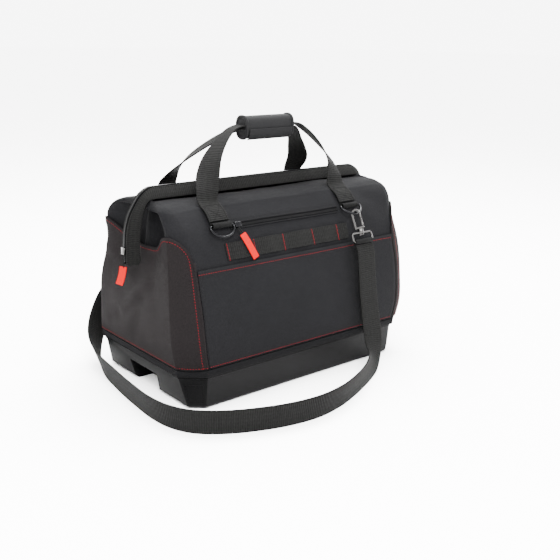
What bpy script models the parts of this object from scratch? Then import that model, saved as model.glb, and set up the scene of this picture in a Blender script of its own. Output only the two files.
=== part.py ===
"""Hard-bottomed tool bag: moulded tray, hollow cloth body, framed mouth, handles and strap.

Units are metres. X runs along the bag, the front faces -Y and Z is up. The origin is the
centre of the tray's flat underside.
"""

import math
from collections import namedtuple

import bmesh
import bpy
from mathutils import Matrix, Vector

# Gaps between neighbours
TOUCH = 0.0004
PIN_PLAY = 0.0006
GUIDE_MARGIN = 0.010

# Tray
TRAY_LENGTH = 0.460
TRAY_WIDTH = 0.275
TRAY_HEIGHT = 0.055
TRAY_DRAFT_X = 0.0135
TRAY_DRAFT_Y = 0.0047
TRAY_CORNER = 0.0345
TRAY_WALL = 0.003
TRAY_FLOOR = 0.004
TRAY_FOOT_BEVEL = 0.005
TRAY_LIP = 0.0016
TRAY_LIP_HEIGHT = 0.004
ARCH_WIDTH = 0.068
ARCH_FLARE = 0.006
ARCH_HEIGHT = 0.034
ARCH_DEPTH = 0.030
PATCH_DEPTH = 0.0009
PATCH_LOW = 0.011
PATCH_HIGH = 0.040
PATCH_MARGIN = 0.14
PATCH_REACH = 0.004
CORNER_SHRINK = 0.6

# Padded edge between tray and cloth
WELT_HEIGHT = 0.0112
WELT_DEPTH = 0.0075
WELT_PROUD = 0.0024
WELT_ROUND = 0.35

# Cloth body
BODY_HEIGHT = 0.235
BODY_LENGTH = 0.465
BODY_WIDTH = 0.281
BODY_CORNER = 0.034
CORNER_SKEW = 0.80
CORNER_CROWN = 0.08
TUCK_DEPTH = 0.030
NOTCH_DEPTH = 0.014
TUCK_PLACE = 0.34
RIGHT_SWELL = 0.016
SWELL_FADE = 0.65
EAVE_DROP = 0.006
CLOTH = 0.0018

# Mouth frame and zip
RIDGE_RISE = 0.0195
BAND_THICKNESS = 0.0032
MOUTH_SPREAD = 0.0175
RIDGE_HALF_GAP = 0.0062
LEG_DROP = 0.1335
LEG_SPLAY_LEFT = 0.041
LEG_SPLAY_RIGHT = 0.036
CORNER_LEFT = -0.210
CORNER_RIGHT = 0.222
ZIP_WIDTH = 0.0056
ZIP_THICKNESS = 0.0024
ZIP_END_SHARE = 0.12
SLIDER_LENGTH = 0.011
SLIDER_WIDTH = 0.0085
SLIDER_HEIGHT = 0.0035
MOUTH_SLIDER_SHARE = 0.30
MOUTH_PULL_LENGTH = 0.046
LEG_TOE = 0.004
LEG_TOE_ROUND = 0.22

# Pockets
PANEL = 0.0015
PANEL_GAP = 0.0008
PANEL_FOOT = 0.0016
POCKET_HEM_HEIGHT = 0.139
END_HEM_HEIGHT = 0.185
END_HEM_DIP = 0.026
END_HEM_FRONT_SHARE = 0.87
END_POCKET_SLACK_SHARE = 0.52
PANEL_EDGE_SHARE = 0.985
PANEL_SIDE_GAP = 0.0012

# Front zip and tool webbing
FRONT_ZIP_GAP_LEFT = 0.00075
FRONT_ZIP_GAP_RIGHT = 0.00975
FRONT_ZIP_THICKNESS = 0.0016
FRONT_SLIDER_INSET = 0.013
FRONT_ZIP_HEIGHT = 0.199
FRONT_ZIP_DEPTH = 0.007
PULL_WIDTH = 0.0115
PULL_LENGTH = 0.045
PULL_THICKNESS = 0.0018
PULL_SWING = 0.024
TOOL_WEBBING_LEFT = -0.140
TOOL_WEBBING_RIGHT = 0.112
TOOL_WEBBING_TOP = 0.177
TOOL_WEBBING_WIDTH = 0.0245
TOOL_WEBBING_THICKNESS = 0.0014
LOOP_RISE = 0.0016
LOOP_COUNT = 5

# Handles
WEBBING = 0.036
WEBBING_THICKNESS = 0.0022
HANDLE_SPACING = 0.266
HANDLE_CENTRE = -0.006
HANDLE_FOOT = 0.2065
HANDLE_LIFT_OFF = 0.231
HANDLE_RISE = 0.100
GRIP_LENGTH = 0.121
GRIP_HEIGHT = 0.041
GRIP_DEPTH = 0.038
GRIP_SHIFT = 0.0255
GRIP_BINDING = 0.006
GRIP_BINDING_PROUD = 0.0012
GRIP_SQUARENESS = 0.75
GRIP_SLOT_PLAY = 0.0072

# D-rings and their tabs
RING_WIRE = 0.0040
RING_WIDTH = 0.0435
RING_DROP = 0.0195
RING_CORNER = 0.0022
RING_LEAN_FREE = -5.0
RING_LEAN_HOOKED = 16.0
TAB_WALL = 0.0019
TAB_WIDTH = 0.0335
TAB_TONGUE = 0.017
TAB_HEIGHT = 0.2005
TAB_SLOPE_SHARE = 0.8

# Snap hooks
HOOK_THICKNESS = 0.0040
HOOK_WIRE = 0.0030
HOOK_EYE_WIDTH = 0.0100
HOOK_EYE_HEIGHT = 0.028
HOOK_TURN = 58.0
HOOK_TILT = 26.0
NOSE_DROP = 0.0085
HOOK_SEAT = 0.0018
SHANK_WIDTH = 0.0040
SHANK_HEAD = 0.0080
SHANK_HEAD_HEIGHT = 0.0022
GATE_WIDTH = 0.0024
BASE_WIDTH = 0.0475
BASE_HEIGHT = 0.0180
BASE_BAR = 0.0034
BASE_CORNER_SHARE = 0.8
BASE_BOSS = 0.0100
BASE_BOSS_HEIGHT = 0.0085

# Shoulder strap
STRAP_WIDTH = 0.039
STRAP_THICKNESS = 0.0020
STRAP_TONGUE = 0.016

FINISHES = {
    "body_cloth": ((0.045, 0.045, 0.048), 0.86, 0.0),
    "end_cloth": ((0.058, 0.050, 0.050), 0.88, 0.0),
    "webbing": ((0.034, 0.034, 0.031), 0.82, 0.0),
    "tray_plastic": ((0.040, 0.040, 0.043), 0.46, 0.0),
    "zip_coil": ((0.020, 0.020, 0.022), 0.45, 0.0),
    "black_metal": ((0.050, 0.050, 0.052), 0.34, 1.0),
    "red_tab": ((0.720, 0.045, 0.035), 0.62, 0.0),
}

# Shape of the cloth body from the seam up. height is a share of BODY_HEIGHT, length and width
# of half BODY_LENGTH and BODY_WIDTH, corner of BODY_CORNER, tuck of TUCK_DEPTH, notch of
# NOTCH_DEPTH, swell of RIGHT_SWELL, and corner_drop and end_drop of EAVE_DROP.
Level = namedtuple("Level", "height length width corner tuck notch swell corner_drop end_drop")
LEVELS = (
    Level(0.000, 1.000, 1.000, 1.00, 0.00, 0.00, 0.00, 0.0, 0.0),
    Level(0.070, 1.010, 0.990, 1.00, 0.00, 0.00, 0.25, 0.0, 0.0),
    Level(0.180, 1.014, 0.965, 1.00, 0.00, 0.00, 0.60, 0.0, 0.0),
    Level(0.320, 1.013, 0.928, 0.98, 0.03, 0.05, 0.82, 0.0, 0.0),
    Level(0.450, 1.007, 0.886, 0.93, 0.20, 0.45, 0.90, 0.0, 0.0),
    Level(0.575, 0.994, 0.835, 0.86, 0.58, 0.95, 0.92, 0.0, 0.0),
    Level(0.680, 0.982, 0.782, 0.79, 0.90, 1.00, 0.95, 0.0, 0.0),
    Level(0.775, 0.968, 0.722, 0.72, 1.00, 1.00, 1.00, 0.0, 0.0),
    Level(0.855, 0.957, 0.650, 0.62, 1.00, 1.05, 1.00, 0.0, 0.0),
    Level(0.922, 0.949, 0.556, 0.52, 0.95, 1.10, 1.00, 0.4, 0.6),
    Level(0.974, 0.944, 0.456, 0.42, 0.32, 0.72, 0.90, 0.9, 1.0),
    Level(0.995, 0.928, 0.316, 0.30, 0.26, 0.60, 0.85, 0.6, 1.0),
    Level(1.000, 0.897, 0.130, 0.10, 0.10, 0.35, 0.85, 0.6, 1.2),
)

# Places around the body: shares along the front and back, round a corner and across an end
FACE_SHARES = (-1.0, -PANEL_EDGE_SHARE, -0.68, -0.34, 0.0, 0.34, 0.68, PANEL_EDGE_SHARE)
CORNER_SHARES = (0.0, 0.34, 0.67)
END_SHARES = (-1.0, -0.82, -0.62, -0.46, -0.34, -0.20, -0.08, 0.08, 0.20, 0.34, 0.46, 0.62, 0.82)

# Free part of a handle, from where it leaves the cloth to the grip. span is a share of half
# HANDLE_SPACING, depth of the handle's distance from the middle where it leaves the cloth,
# rise of HANDLE_RISE, shift of GRIP_SHIFT, twist in degrees, width a share of WEBBING, and
# stack the share of the step that lays one handle over the other in the grip.
HandleRow = namedtuple("HandleRow", "span depth rise shift twist width stack")
HANDLE_ROWS = (
    HandleRow(0.990, 0.900, 0.160, 0.10, 12, 1.00, 0.0),
    HandleRow(0.965, 0.740, 0.340, 0.28, 36, 1.00, 0.0),
    HandleRow(0.900, 0.540, 0.560, 0.40, 58, 0.95, 0.6),
    HandleRow(0.770, 0.310, 0.790, 0.62, 76, 0.80, 1.0),
    HandleRow(0.620, 0.110, 0.962, 0.85, 88, 0.70, 1.0),
    HandleRow(0.500, 0.040, 0.996, 1.00, 90, 0.68, 1.0),
    HandleRow(0.360, 0.040, 0.998, 1.00, 90, 0.68, 1.0),
)

# A leg of the mouth frame from the ridge down. zip_down and edge_down are shares of LEG_DROP
# for the leg's zip side and its cloth side, zip_out and edge_out of the splay, and side the
# share of the band's own spread that the cloth side keeps.
LegRow = namedtuple("LegRow", "zip_down zip_out edge_down edge_out side")
LEG_ROWS = (
    LegRow(0.000, -0.25, 0.146, -0.20, 1.00),
    LegRow(0.022, 0.00, 0.150, 0.02, 0.98),
    LegRow(0.095, 0.30, 0.180, 0.17, 0.94),
    LegRow(0.215, 0.56, 0.260, 0.29, 0.86),
    LegRow(0.370, 0.80, 0.390, 0.38, 0.78),
    LegRow(0.570, 0.95, 0.575, 0.45, 0.72),
    LegRow(0.800, 1.00, 0.800, 0.50, 0.70),
    LegRow(1.000, 1.00, 1.000, 0.50, 0.68),
)

# Route of the shoulder strap. On the floor, along and across are shares of half the tray's
# length and width and height is a share of STRAP_WIDTH. Where it hangs, along is a share of
# STRAP_WIDTH from its ring, across the same as on the floor and height a share of the height of
# the hook's bar. lean is the direction of the strap's upper or left edge.
StrapRow = namedtuple("StrapRow", "along across height lean")
STRAP_FRONT_HANG = (
    StrapRow(0.00, -0.965, 0.800, (-1.00, 0.00, 0.00)),
    StrapRow(0.00, -1.030, 0.620, (-1.00, 0.02, 0.04)),
    StrapRow(0.02, -1.110, 0.420, (-0.99, 0.06, 0.10)),
    StrapRow(0.00, -1.200, 0.250, (-0.90, 0.15, 0.35)),
)
STRAP_FLOOR = (
    StrapRow(0.495, -1.320, 0.700, (-0.55, 0.15, 0.80)),
    StrapRow(0.380, -1.460, 0.530, (-0.20, 0.05, 0.97)),
    StrapRow(0.226, -1.607, 0.505, (0.00, -0.05, 1.00)),
    StrapRow(0.052, -1.738, 0.505, (0.00, -0.12, 0.99)),
    StrapRow(-0.130, -1.840, 0.505, (0.00, -0.14, 0.99)),
    StrapRow(-0.348, -1.891, 0.505, (0.00, -0.13, 0.99)),
    StrapRow(-0.587, -1.840, 0.505, (0.00, -0.13, 0.99)),
    StrapRow(-0.804, -1.716, 0.505, (-0.02, -0.12, 0.99)),
    StrapRow(-0.978, -1.564, 0.505, (-0.06, -0.10, 0.99)),
    StrapRow(-1.117, -1.360, 0.505, (-0.10, -0.07, 0.99)),
    StrapRow(-1.191, -1.105, 0.505, (-0.13, -0.03, 0.99)),
    StrapRow(-1.213, -0.800, 0.505, (-0.15, 0.00, 0.99)),
    StrapRow(-1.202, -0.473, 0.505, (-0.15, 0.00, 0.99)),
    StrapRow(-1.183, -0.145, 0.505, (-0.15, 0.00, 0.99)),
    StrapRow(-1.157, 0.182, 0.505, (-0.16, 0.00, 0.99)),
    StrapRow(-1.126, 0.510, 0.515, (-0.22, -0.02, 0.97)),
    StrapRow(-1.087, 0.785, 0.667, (-0.42, -0.12, 0.90)),
    StrapRow(-1.026, 1.018, 1.080, (-0.68, -0.10, 0.72)),
    StrapRow(-0.940, 1.164, 1.800, (-0.84, 0.02, 0.52)),
)
STRAP_BACK_HANG = (
    StrapRow(-1.380, 1.193, 0.500, (-0.92, 0.05, 0.36)),
    StrapRow(-0.740, 1.135, 0.660, (-0.96, 0.04, 0.24)),
    StrapRow(-0.080, 0.980, 0.800, (-1.00, 0.00, 0.00)),
)

# Steps and sides of curved pieces
SHELL_HEIGHTS = (0.0, 0.07, 0.16, 0.26, 0.36, 0.45, 0.53, 0.60, 0.67, 0.73, 0.79, 0.85, 0.90, 0.94,
                 0.974, 0.995, 1.0)
END_POCKET_ROWS = 10
FRONT_POCKET_ROWS = 7
SLEEVE_STEPS = 13
RING_STEPS = 10
WIRE_SIDES = 8
HOOK_STEPS = 8
BOSS_SIDES = 12
GRIP_SIDES = 20
HANDLE_STEPS = 3
STRAP_STEPS = 2

# Sizes worked out from the ones above
SEAM = TRAY_HEIGHT + WELT_HEIGHT + 2 * TOUCH
RIDGE = SEAM + BODY_HEIGHT + RIDGE_RISE
HOLE_RADIUS = RING_WIRE / 2 + PIN_PLAY
BAR_HOLE = BASE_BAR / 2 + PIN_PLAY
HANDLE_LIFT = TAB_WALL + WEBBING_THICKNESS / 2 + 4 * TOUCH
HANDLE_STACK = WEBBING_THICKNESS * 2.2

SkinPlace = namedtuple("SkinPlace", "kind share side_x side_y")


def clear_scene():
    """Remove every object of the open file."""
    for thing in list(bpy.data.objects):
        bpy.data.objects.remove(thing, do_unlink=True)


def finish_material(name):
    """Return the Principled material of a finish, made on first use."""
    if name in bpy.data.materials:
        return bpy.data.materials[name]
    colour, roughness, metallic = FINISHES[name]
    material = bpy.data.materials.new(name)
    material.use_nodes = True
    shader = material.node_tree.nodes["Principled BSDF"]
    shader.inputs["Base Color"].default_value = (*colour, 1.0)
    shader.inputs["Roughness"].default_value = roughness
    shader.inputs["Metallic"].default_value = metallic
    return material


def make_object(name, points, faces, finish):
    """Make a mesh object from points and faces, with its faces turned outwards."""
    mesh = bpy.data.meshes.new(name)
    mesh.from_pydata([tuple(p) for p in points], [], faces)
    shape = bmesh.new()
    shape.from_mesh(mesh)
    bmesh.ops.recalc_face_normals(shape, faces=shape.faces)
    shape.to_mesh(mesh)
    shape.free()
    thing = bpy.data.objects.new(name, mesh)
    bpy.context.scene.collection.objects.link(thing)
    mesh.materials.append(finish_material(finish))
    return thing


def loft(name, rings, finish, closed=False):
    """Join rings of equal count into a solid, with end caps unless the rings close."""
    count = len(rings[0])
    points = [p for ring in rings for p in ring]
    faces = []
    spans = len(rings) if closed else len(rings) - 1
    for k in range(spans):
        low = k * count
        high = (k + 1) % len(rings) * count
        for i in range(count):
            j = (i + 1) % count
            faces.append((low + i, low + j, high + j, high + i))
    if not closed:
        last = (len(rings) - 1) * count
        faces.append(tuple(reversed(range(count))))
        faces.append(tuple(last + i for i in range(count)))
    return make_object(name, points, faces, finish)


def sheet(name, rows, thickness, finish, wrap=False, outward=True):
    """Make a wall of one thickness from rows of points, growing outwards or inwards."""
    count = len(rows[0])
    points = [p for row in rows for p in row]
    faces = []
    spans = count if wrap else count - 1
    for k in range(len(rows) - 1):
        for i in range(spans):
            j = (i + 1) % count
            faces.append((k * count + i, k * count + j, (k + 1) * count + j, (k + 1) * count + i))
    mesh = bpy.data.meshes.new(name)
    mesh.from_pydata([tuple(p) for p in points], [], faces)
    thing = bpy.data.objects.new(name, mesh)
    bpy.context.scene.collection.objects.link(thing)
    mesh.materials.append(finish_material(finish))
    wall = thing.modifiers.new("wall", "SOLIDIFY")
    wall.thickness = thickness
    wall.offset = 1.0 if outward else -1.0
    return thing


def cut_from(thing, cutter, operation="DIFFERENCE"):
    """Cut a hidden guide solid out of a piece, or join the two."""
    cutter.hide_render = True
    cutter.display_type = "WIRE"
    step = thing.modifiers.new(cutter.name, "BOOLEAN")
    step.operation = operation
    step.object = cutter
    step.solver = "EXACT"


def ribbon_rings(centres, edges, widths, thickness):
    """Return rectangular sections along centres, each wide along its edge direction."""
    rings = []
    last = len(centres) - 1
    for i, centre in enumerate(centres):
        along = (centres[min(i + 1, last)] - centres[max(i - 1, 0)]).normalized()
        edge = edges[i] - along * edges[i].dot(along)
        edge.normalize()
        face = along.cross(edge)
        half = edge * widths[i] / 2
        deep = face * thickness / 2
        rings.append([centre - half - deep, centre + half - deep, centre + half + deep,
                      centre - half + deep])
    return rings


def wire_rings(path, radius, sides, across):
    """Return round sections along a closed flat path whose plane is square to across."""
    rings = []
    count = len(path)
    for i, point in enumerate(path):
        along = (path[(i + 1) % count] - path[i - 1]).normalized()
        outward = along.cross(across).normalized()
        ring = []
        for s in range(sides):
            angle = math.tau * s / sides
            ring.append(point + outward * radius * math.cos(angle) + across * radius * math.sin(angle))
        rings.append(ring)
    return rings


def smooth_between(rows, key, column):
    """Return a column of a table at a key, on a smooth curve through its rows."""
    keys = [row[0] for row in rows]
    values = [getattr(row, column) for row in rows]
    key = min(max(key, keys[0]), keys[-1])
    i = max(k for k in range(len(keys) - 1) if keys[k] <= key)
    span = keys[i + 1] - keys[i]
    t = (key - keys[i]) / span

    def slope(k):
        before = max(k - 1, 0)
        after = min(k + 1, len(keys) - 1)
        return (values[after] - values[before]) / (keys[after] - keys[before]) * span

    a, b = slope(i), slope(i + 1)
    return ((2 * t**3 - 3 * t**2 + 1) * values[i] + (t**3 - 2 * t**2 + t) * a
            + (3 * t**2 - 2 * t**3) * values[i + 1] + (t**3 - t**2) * b)


def level_at(height):
    """Return the body's level at a share of BODY_HEIGHT."""
    return Level(*[height] + [smooth_between(LEVELS, height, c) for c in Level._fields[1:]])


def ease(t):
    """Return a soft step from 0 to 1."""
    t = min(max(t, 0.0), 1.0)
    return t * t * (3 - 2 * t)


def skin(place, height, slack=1.0):
    """Return the point of the cloth body at a place around it and a share of its height.

    slack is the share of the end's folds that a looser layer follows.
    """
    level = level_at(height)
    reach = level.length * BODY_LENGTH / 2
    if place.side_x > 0:
        reach += level.swell * RIGHT_SWELL
    depth = level.width * BODY_WIDTH / 2
    leg_x = level.corner * BODY_CORNER
    leg_y = leg_x * CORNER_SKEW
    corner_fall = level.corner_drop * EAVE_DROP
    base = SEAM + height * BODY_HEIGHT
    if place.kind == "face":
        x = abs(place.share) * (reach - leg_x) * place.side_x
        return Vector((x, place.side_y * depth, base - corner_fall * place.share**6))
    if place.kind == "corner":
        t = place.share
        crown = CORNER_CROWN * leg_x * 4 * t * (1 - t)
        x = reach - leg_x * (1 - t) + crown
        y = depth - leg_y * t + crown
        return Vector((place.side_x * x, place.side_y * y, base - corner_fall))
    v = place.share
    tuck = level.tuck * TUCK_DEPTH * slack
    notch = level.notch * NOTCH_DEPTH * (1 + slack) / 2
    if abs(v) >= TUCK_PLACE:
        fold = tuck * ease((1 - abs(v)) / (1 - TUCK_PLACE))
    else:
        fold = notch + (tuck - notch) * ease(abs(v) / TUCK_PLACE)
    if place.side_x > 0:
        fold += level.swell * RIGHT_SWELL * SWELL_FADE * ease((1 - abs(v)) / (1 - TUCK_PLACE))
    sink = ease((1 - abs(v)) / 0.3)
    fall = corner_fall + (level.end_drop - level.corner_drop) * EAVE_DROP * sink
    return Vector((place.side_x * (reach - fold), v * (depth - leg_y), base - fall))


def body_places():
    """Return the places of one ring round the body, from the front's left end."""
    places = []
    for side in (-1, 1):
        for share in FACE_SHARES:
            t = share * -side
            places.append(SkinPlace("face", abs(t), 1 if t > 0 else -1, side))
        for share in CORNER_SHARES:
            places.append(SkinPlace("corner", share, -side, side))
        for share in END_SHARES:
            places.append(SkinPlace("end", share * -side, -side, side))
        for share in CORNER_SHARES:
            places.append(SkinPlace("corner", 1 - share, -side, -side))
    return places


def face_point(x, height, side_y, lift=0.0):
    """Return a point on the front or back at x, with its outward normal, lifted off by lift."""
    def at(h):
        level = level_at(h)
        side_x = 1 if x > 0 else -1
        reach = level.length * BODY_LENGTH / 2 - level.corner * BODY_CORNER
        if side_x > 0:
            reach += level.swell * RIGHT_SWELL
        return skin(SkinPlace("face", abs(x) / reach, side_x, side_y), h)

    step = 0.004
    point = at(height)
    upward = (at(min(height + step, 1.0)) - at(height - step)).normalized()
    normal = Vector((1, 0, 0)).cross(upward) * -side_y
    if normal.y * side_y < 0:
        normal.negate()
    return point + normal * lift, normal, upward


def spans(points):
    """Return the distances between neighbouring points."""
    return [(end - start).length for start, end in zip(points, points[1:])]


def smooth_path(values, lengths, steps):
    """Return vectors on a smooth curve through the given ones, with steps to each span.

    lengths are the distances between the values' places along the curve.
    """
    path = []
    last = len(values) - 1

    def slope(i):
        low, high = max(i - 1, 0), min(i + 1, last)
        return (values[high] - values[low]) / sum(lengths[low:high])

    for i in range(last):
        start, end = values[i], values[i + 1]
        leave, arrive = slope(i) * lengths[i], slope(i + 1) * lengths[i]
        for k in range(steps):
            t = k / steps
            path.append(start * (2 * t**3 - 3 * t**2 + 1) + leave * (t**3 - 2 * t**2 + t)
                        + end * (3 * t**2 - 2 * t**3) + arrive * (t**3 - t**2))
    path.append(values[last])
    return path


def lifted(rows, lift):
    """Return a grid of points moved out of its own surface by lift."""
    moved = []
    top = len(rows) - 1
    for k, row in enumerate(rows):
        last = len(row) - 1
        line = []
        for i, point in enumerate(row):
            across = row[min(i + 1, last)] - row[max(i - 1, 0)]
            upward = rows[min(k + 1, top)][i] - rows[max(k - 1, 0)][i]
            line.append(point + across.cross(upward).normalized() * lift)
        moved.append(line)
    return moved


def prism(name, outline, centre, right, upward, deep, depth, finish):
    """Make a plate from an outline of (right, upward) pairs, centred on its thickness."""
    rings = []
    for side in (-0.5, 0.5):
        rings.append([centre + right * a + upward * b + deep * side * depth for a, b in outline])
    return loft(name, rings, finish)


def block(name, centre, right, upward, deep, size, finish):
    """Make a box turned to three directions."""
    wide, high, depth = size
    corners = [(-wide / 2, -high / 2), (wide / 2, -high / 2), (wide / 2, high / 2),
               (-wide / 2, high / 2)]
    return prism(name, corners, centre, right, upward, deep, depth, finish)


def move_origin(thing, point):
    """Put an object's origin at a point and leave its shape in place."""
    thing.data.transform(Matrix.Translation(-point))
    thing.location = point


def keyhole(name, centre, along, away, hole, wall, tongue, width, finish):
    """Make a folded webbing end: a sleeve round a bar along X, with one flat tongue.

    along points down the tongue, and away from the tongue's side of the bar to the other.
    """
    outer = hole + wall
    start = math.asin(-hole / outer)
    angles = [start + (1.5 * math.pi - start) * k / SLEEVE_STEPS for k in range(SLEEVE_STEPS + 1)]
    spots = [along * math.cos(a) + away * math.sin(a) for a in angles]
    outline = [s * outer for s in spots]
    outline += [along * tongue - away * outer, along * tongue - away * hole]
    inside = [s * hole for s in spots]
    rim, bore = len(outline), len(inside)
    points = []
    for side in (-0.5, 0.5):
        shift = centre + Vector((width * side, 0, 0))
        points += [shift + p for p in outline + inside]
    faces = []
    other = rim + bore
    for base in (0, other):
        for i in range(bore):
            j = (i + 1) % bore
            faces.append((base + i, base + j, base + rim + j, base + rim + i))
        faces.append((base + bore - 1, base + bore, base + bore + 1, base))
    for first, count in ((0, rim), (rim, bore)):
        for i in range(count):
            j = (i + 1) % count
            faces.append((first + i, first + j, other + first + j, other + first + i))
    return make_object(name, points, faces, finish)


def handle_x(side_x):
    """Return the x of a handle's foot, on the left or right."""
    return HANDLE_CENTRE + side_x * HANDLE_SPACING / 2


def octagon(half_x, half_y, leg_x, leg_y, z):
    """Return a rectangle with cut corners at height z, anticlockwise from above."""
    points = []
    for side_x, side_y, x_first in ((-1, -1, False), (1, -1, True), (1, 1, False), (-1, 1, True)):
        on_face = Vector((side_x * (half_x - leg_x), side_y * half_y, z))
        on_end = Vector((side_x * half_x, side_y * (half_y - leg_y), z))
        points += [on_face, on_end] if x_first else [on_end, on_face]
    return points


def tray_ring(z, inset=0.0):
    """Return the tray's outline at a height, moved inwards by inset."""
    fall = 1 - min(z / TRAY_HEIGHT, 1.0)
    half_x = TRAY_LENGTH / 2 - TRAY_DRAFT_X * fall - inset
    half_y = TRAY_WIDTH / 2 - TRAY_DRAFT_Y * fall - inset
    leg = TRAY_CORNER - TRAY_DRAFT_X * fall - CORNER_SHRINK * inset
    return octagon(half_x, half_y, leg, leg * CORNER_SKEW, z)


def arch_block(name, side_x, wall):
    """Return a guide solid in the shape of an end arch, grown by wall."""
    outer = TRAY_LENGTH / 2 + GUIDE_MARGIN
    inner = TRAY_LENGTH / 2 - TRAY_DRAFT_X - ARCH_DEPTH - wall
    top = ARCH_HEIGHT + wall
    low = ARCH_WIDTH / 2 + wall
    high = low + ARCH_FLARE
    rings = []
    for x in (side_x * inner, side_x * outer):
        rings.append([Vector((x, -low, -GUIDE_MARGIN)), Vector((x, low, -GUIDE_MARGIN)), Vector((x, high, top)),
                      Vector((x, -high, top))])
    return loft(name, rings, "tray_plastic")


def base_tray():
    """Tray with cut corners, hand arches in both ends and shallow corner patches."""
    rings = [tray_ring(0.0, TRAY_FOOT_BEVEL), tray_ring(TRAY_FOOT_BEVEL)]
    rings += [tray_ring(TRAY_HEIGHT - TRAY_LIP_HEIGHT), tray_ring(TRAY_HEIGHT - TRAY_LIP_HEIGHT, -TRAY_LIP)]
    rings.append(tray_ring(TRAY_HEIGHT, -TRAY_LIP))
    tray = loft("base_tray", rings, "tray_plastic")
    floor = tray_ring(TRAY_FLOOR, TRAY_WALL)
    rim = tray_ring(TRAY_HEIGHT, TRAY_WALL)
    above = [p + Vector((0, 0, GUIDE_MARGIN)) for p in rim]
    cavity = loft("guide_cavity", [floor, rim, above], "tray_plastic")
    for side_x, word in ((-1, "left"), (1, "right")):
        cut_from(cavity, arch_block("guide_arch_wall_" + word, side_x, TRAY_WALL))
    cut_from(tray, cavity)
    for side_x, word in ((-1, "left"), (1, "right")):
        cut_from(tray, arch_block("guide_arch_" + word, side_x, 0.0))
        for side_y, place in ((-1, "front"), (1, "back")):
            cut_from(tray, patch_block("guide_patch_" + place + "_" + word, side_x, side_y))


def patch_block(name, side_x, side_y):
    """Return a guide solid that sinks a patch into a cut corner of the tray."""
    low = [p for p in tray_ring(PATCH_LOW) if p.x * side_x > 0 and p.y * side_y > 0]
    high = [p for p in tray_ring(PATCH_HIGH) if p.x * side_x > 0 and p.y * side_y > 0]
    rings = []
    for depth in (-PATCH_DEPTH, PATCH_REACH):
        ring = []
        for first, second in (low, reversed(high)):
            out = Vector((side_x * CORNER_SKEW, side_y, 0)).normalized() * depth
            margin = (second - first) * PATCH_MARGIN
            ring += [first + margin + out, second - margin + out]
        rings.append(ring)
    return loft(name, rings, "tray_plastic")


def base_welt():
    """Padded edge that stands on the tray's rim and carries the cloth."""
    low = TRAY_HEIGHT + TOUCH
    shapes = ((0.0, 0.0), (0.25, 1.0), (0.75, 1.0), (1.0, 0.0))
    rings = []
    for inner in (False, True):
        for share, proud in reversed(shapes) if inner else shapes:
            grow = -WELT_DEPTH if inner else 0.0
            out = WELT_PROUD if inner else WELT_PROUD * (1 - (1 - proud) * WELT_ROUND)
            half_x = BODY_LENGTH / 2 + out + grow
            half_y = BODY_WIDTH / 2 + out + grow
            leg = BODY_CORNER + CORNER_SHRINK * (out + grow)
            rings.append(octagon(half_x, half_y, leg, leg * CORNER_SKEW, low + share * WELT_HEIGHT))
    loft("base_welt", rings, "body_cloth", closed=True)


def body_shell():
    """Hollow cloth body, open below and at the mouth, with the folded ends."""
    places = body_places()
    rows = [[skin(place, height) for place in places] for height in SHELL_HEIGHTS]
    sheet("body_shell", rows, CLOTH, "body_cloth", wrap=True, outward=False)


def band_row(row, side_x, side_y):
    """Return the zip-side and cloth-side edge points of the mouth frame at a table row."""
    corner = CORNER_RIGHT if side_x > 0 else -CORNER_LEFT
    splay = LEG_SPLAY_RIGHT if side_x > 0 else LEG_SPLAY_LEFT
    zip_edge = Vector((side_x * (corner + row.zip_out * splay), side_y * RIDGE_HALF_GAP,
                       RIDGE - row.zip_down * LEG_DROP))
    cloth_edge = Vector((side_x * (corner + row.edge_out * splay), side_y * MOUTH_SPREAD * row.side,
                         RIDGE - row.edge_down * LEG_DROP))
    return zip_edge, cloth_edge


def band_run(side_y):
    """Return the pairs of edge points along a half of the mouth frame, from left to right."""
    pairs = []
    for side_x, rows in ((-1, LEG_ROWS[::-1]), (1, LEG_ROWS)):
        side = [band_row(row, side_x, side_y) for row in rows]
        foot = side[0] if side_x < 0 else side[-1]
        shrink = (foot[1] - foot[0]) * LEG_TOE_ROUND
        toe = (foot[0] + shrink - Vector((0, 0, LEG_TOE)), foot[1] - shrink - Vector((0, 0, LEG_TOE)))
        pairs += [toe] + side if side_x < 0 else side + [toe]
    return pairs


def mouth_bands():
    """The two halves of the mouth frame, each one strip from leg to leg."""
    for side_y, word in ((-1, "front"), (1, "back")):
        pairs = band_run(side_y)
        rings = []
        last = len(pairs) - 1
        for i, (zip_edge, cloth_edge) in enumerate(pairs):
            ahead, behind = pairs[min(i + 1, last)], pairs[max(i - 1, 0)]
            along = (ahead[0] + ahead[1] - behind[0] - behind[1]).normalized()
            inward = along.cross(cloth_edge - zip_edge).normalized()
            if inward.y * side_y > 0:
                inward.negate()
            inward *= BAND_THICKNESS
            rings.append([zip_edge, cloth_edge, cloth_edge + inward, zip_edge + inward])
        loft("mouth_band_" + word, rings, "webbing")


def mouth_line():
    """Return the middle line between the halves of the mouth frame, from left to right."""
    front, back = band_run(-1), band_run(1)
    line = [(a[0] + b[0]) / 2 for a, b in zip(front, back)]
    return line[1:-1]


def leg_place(share):
    """Return a point on the left leg's middle line and its downward direction."""
    line = mouth_line()
    high, low = line[2], line[0]
    path = [line[2], line[1], line[0]]
    z = high.z + (low.z - high.z) * share
    for start, end in zip(path, path[1:]):
        if end.z <= z <= start.z:
            t = (start.z - z) / (start.z - end.z)
            return start.lerp(end, t), (end - start).normalized()
    return low, (low - path[1]).normalized()


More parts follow.
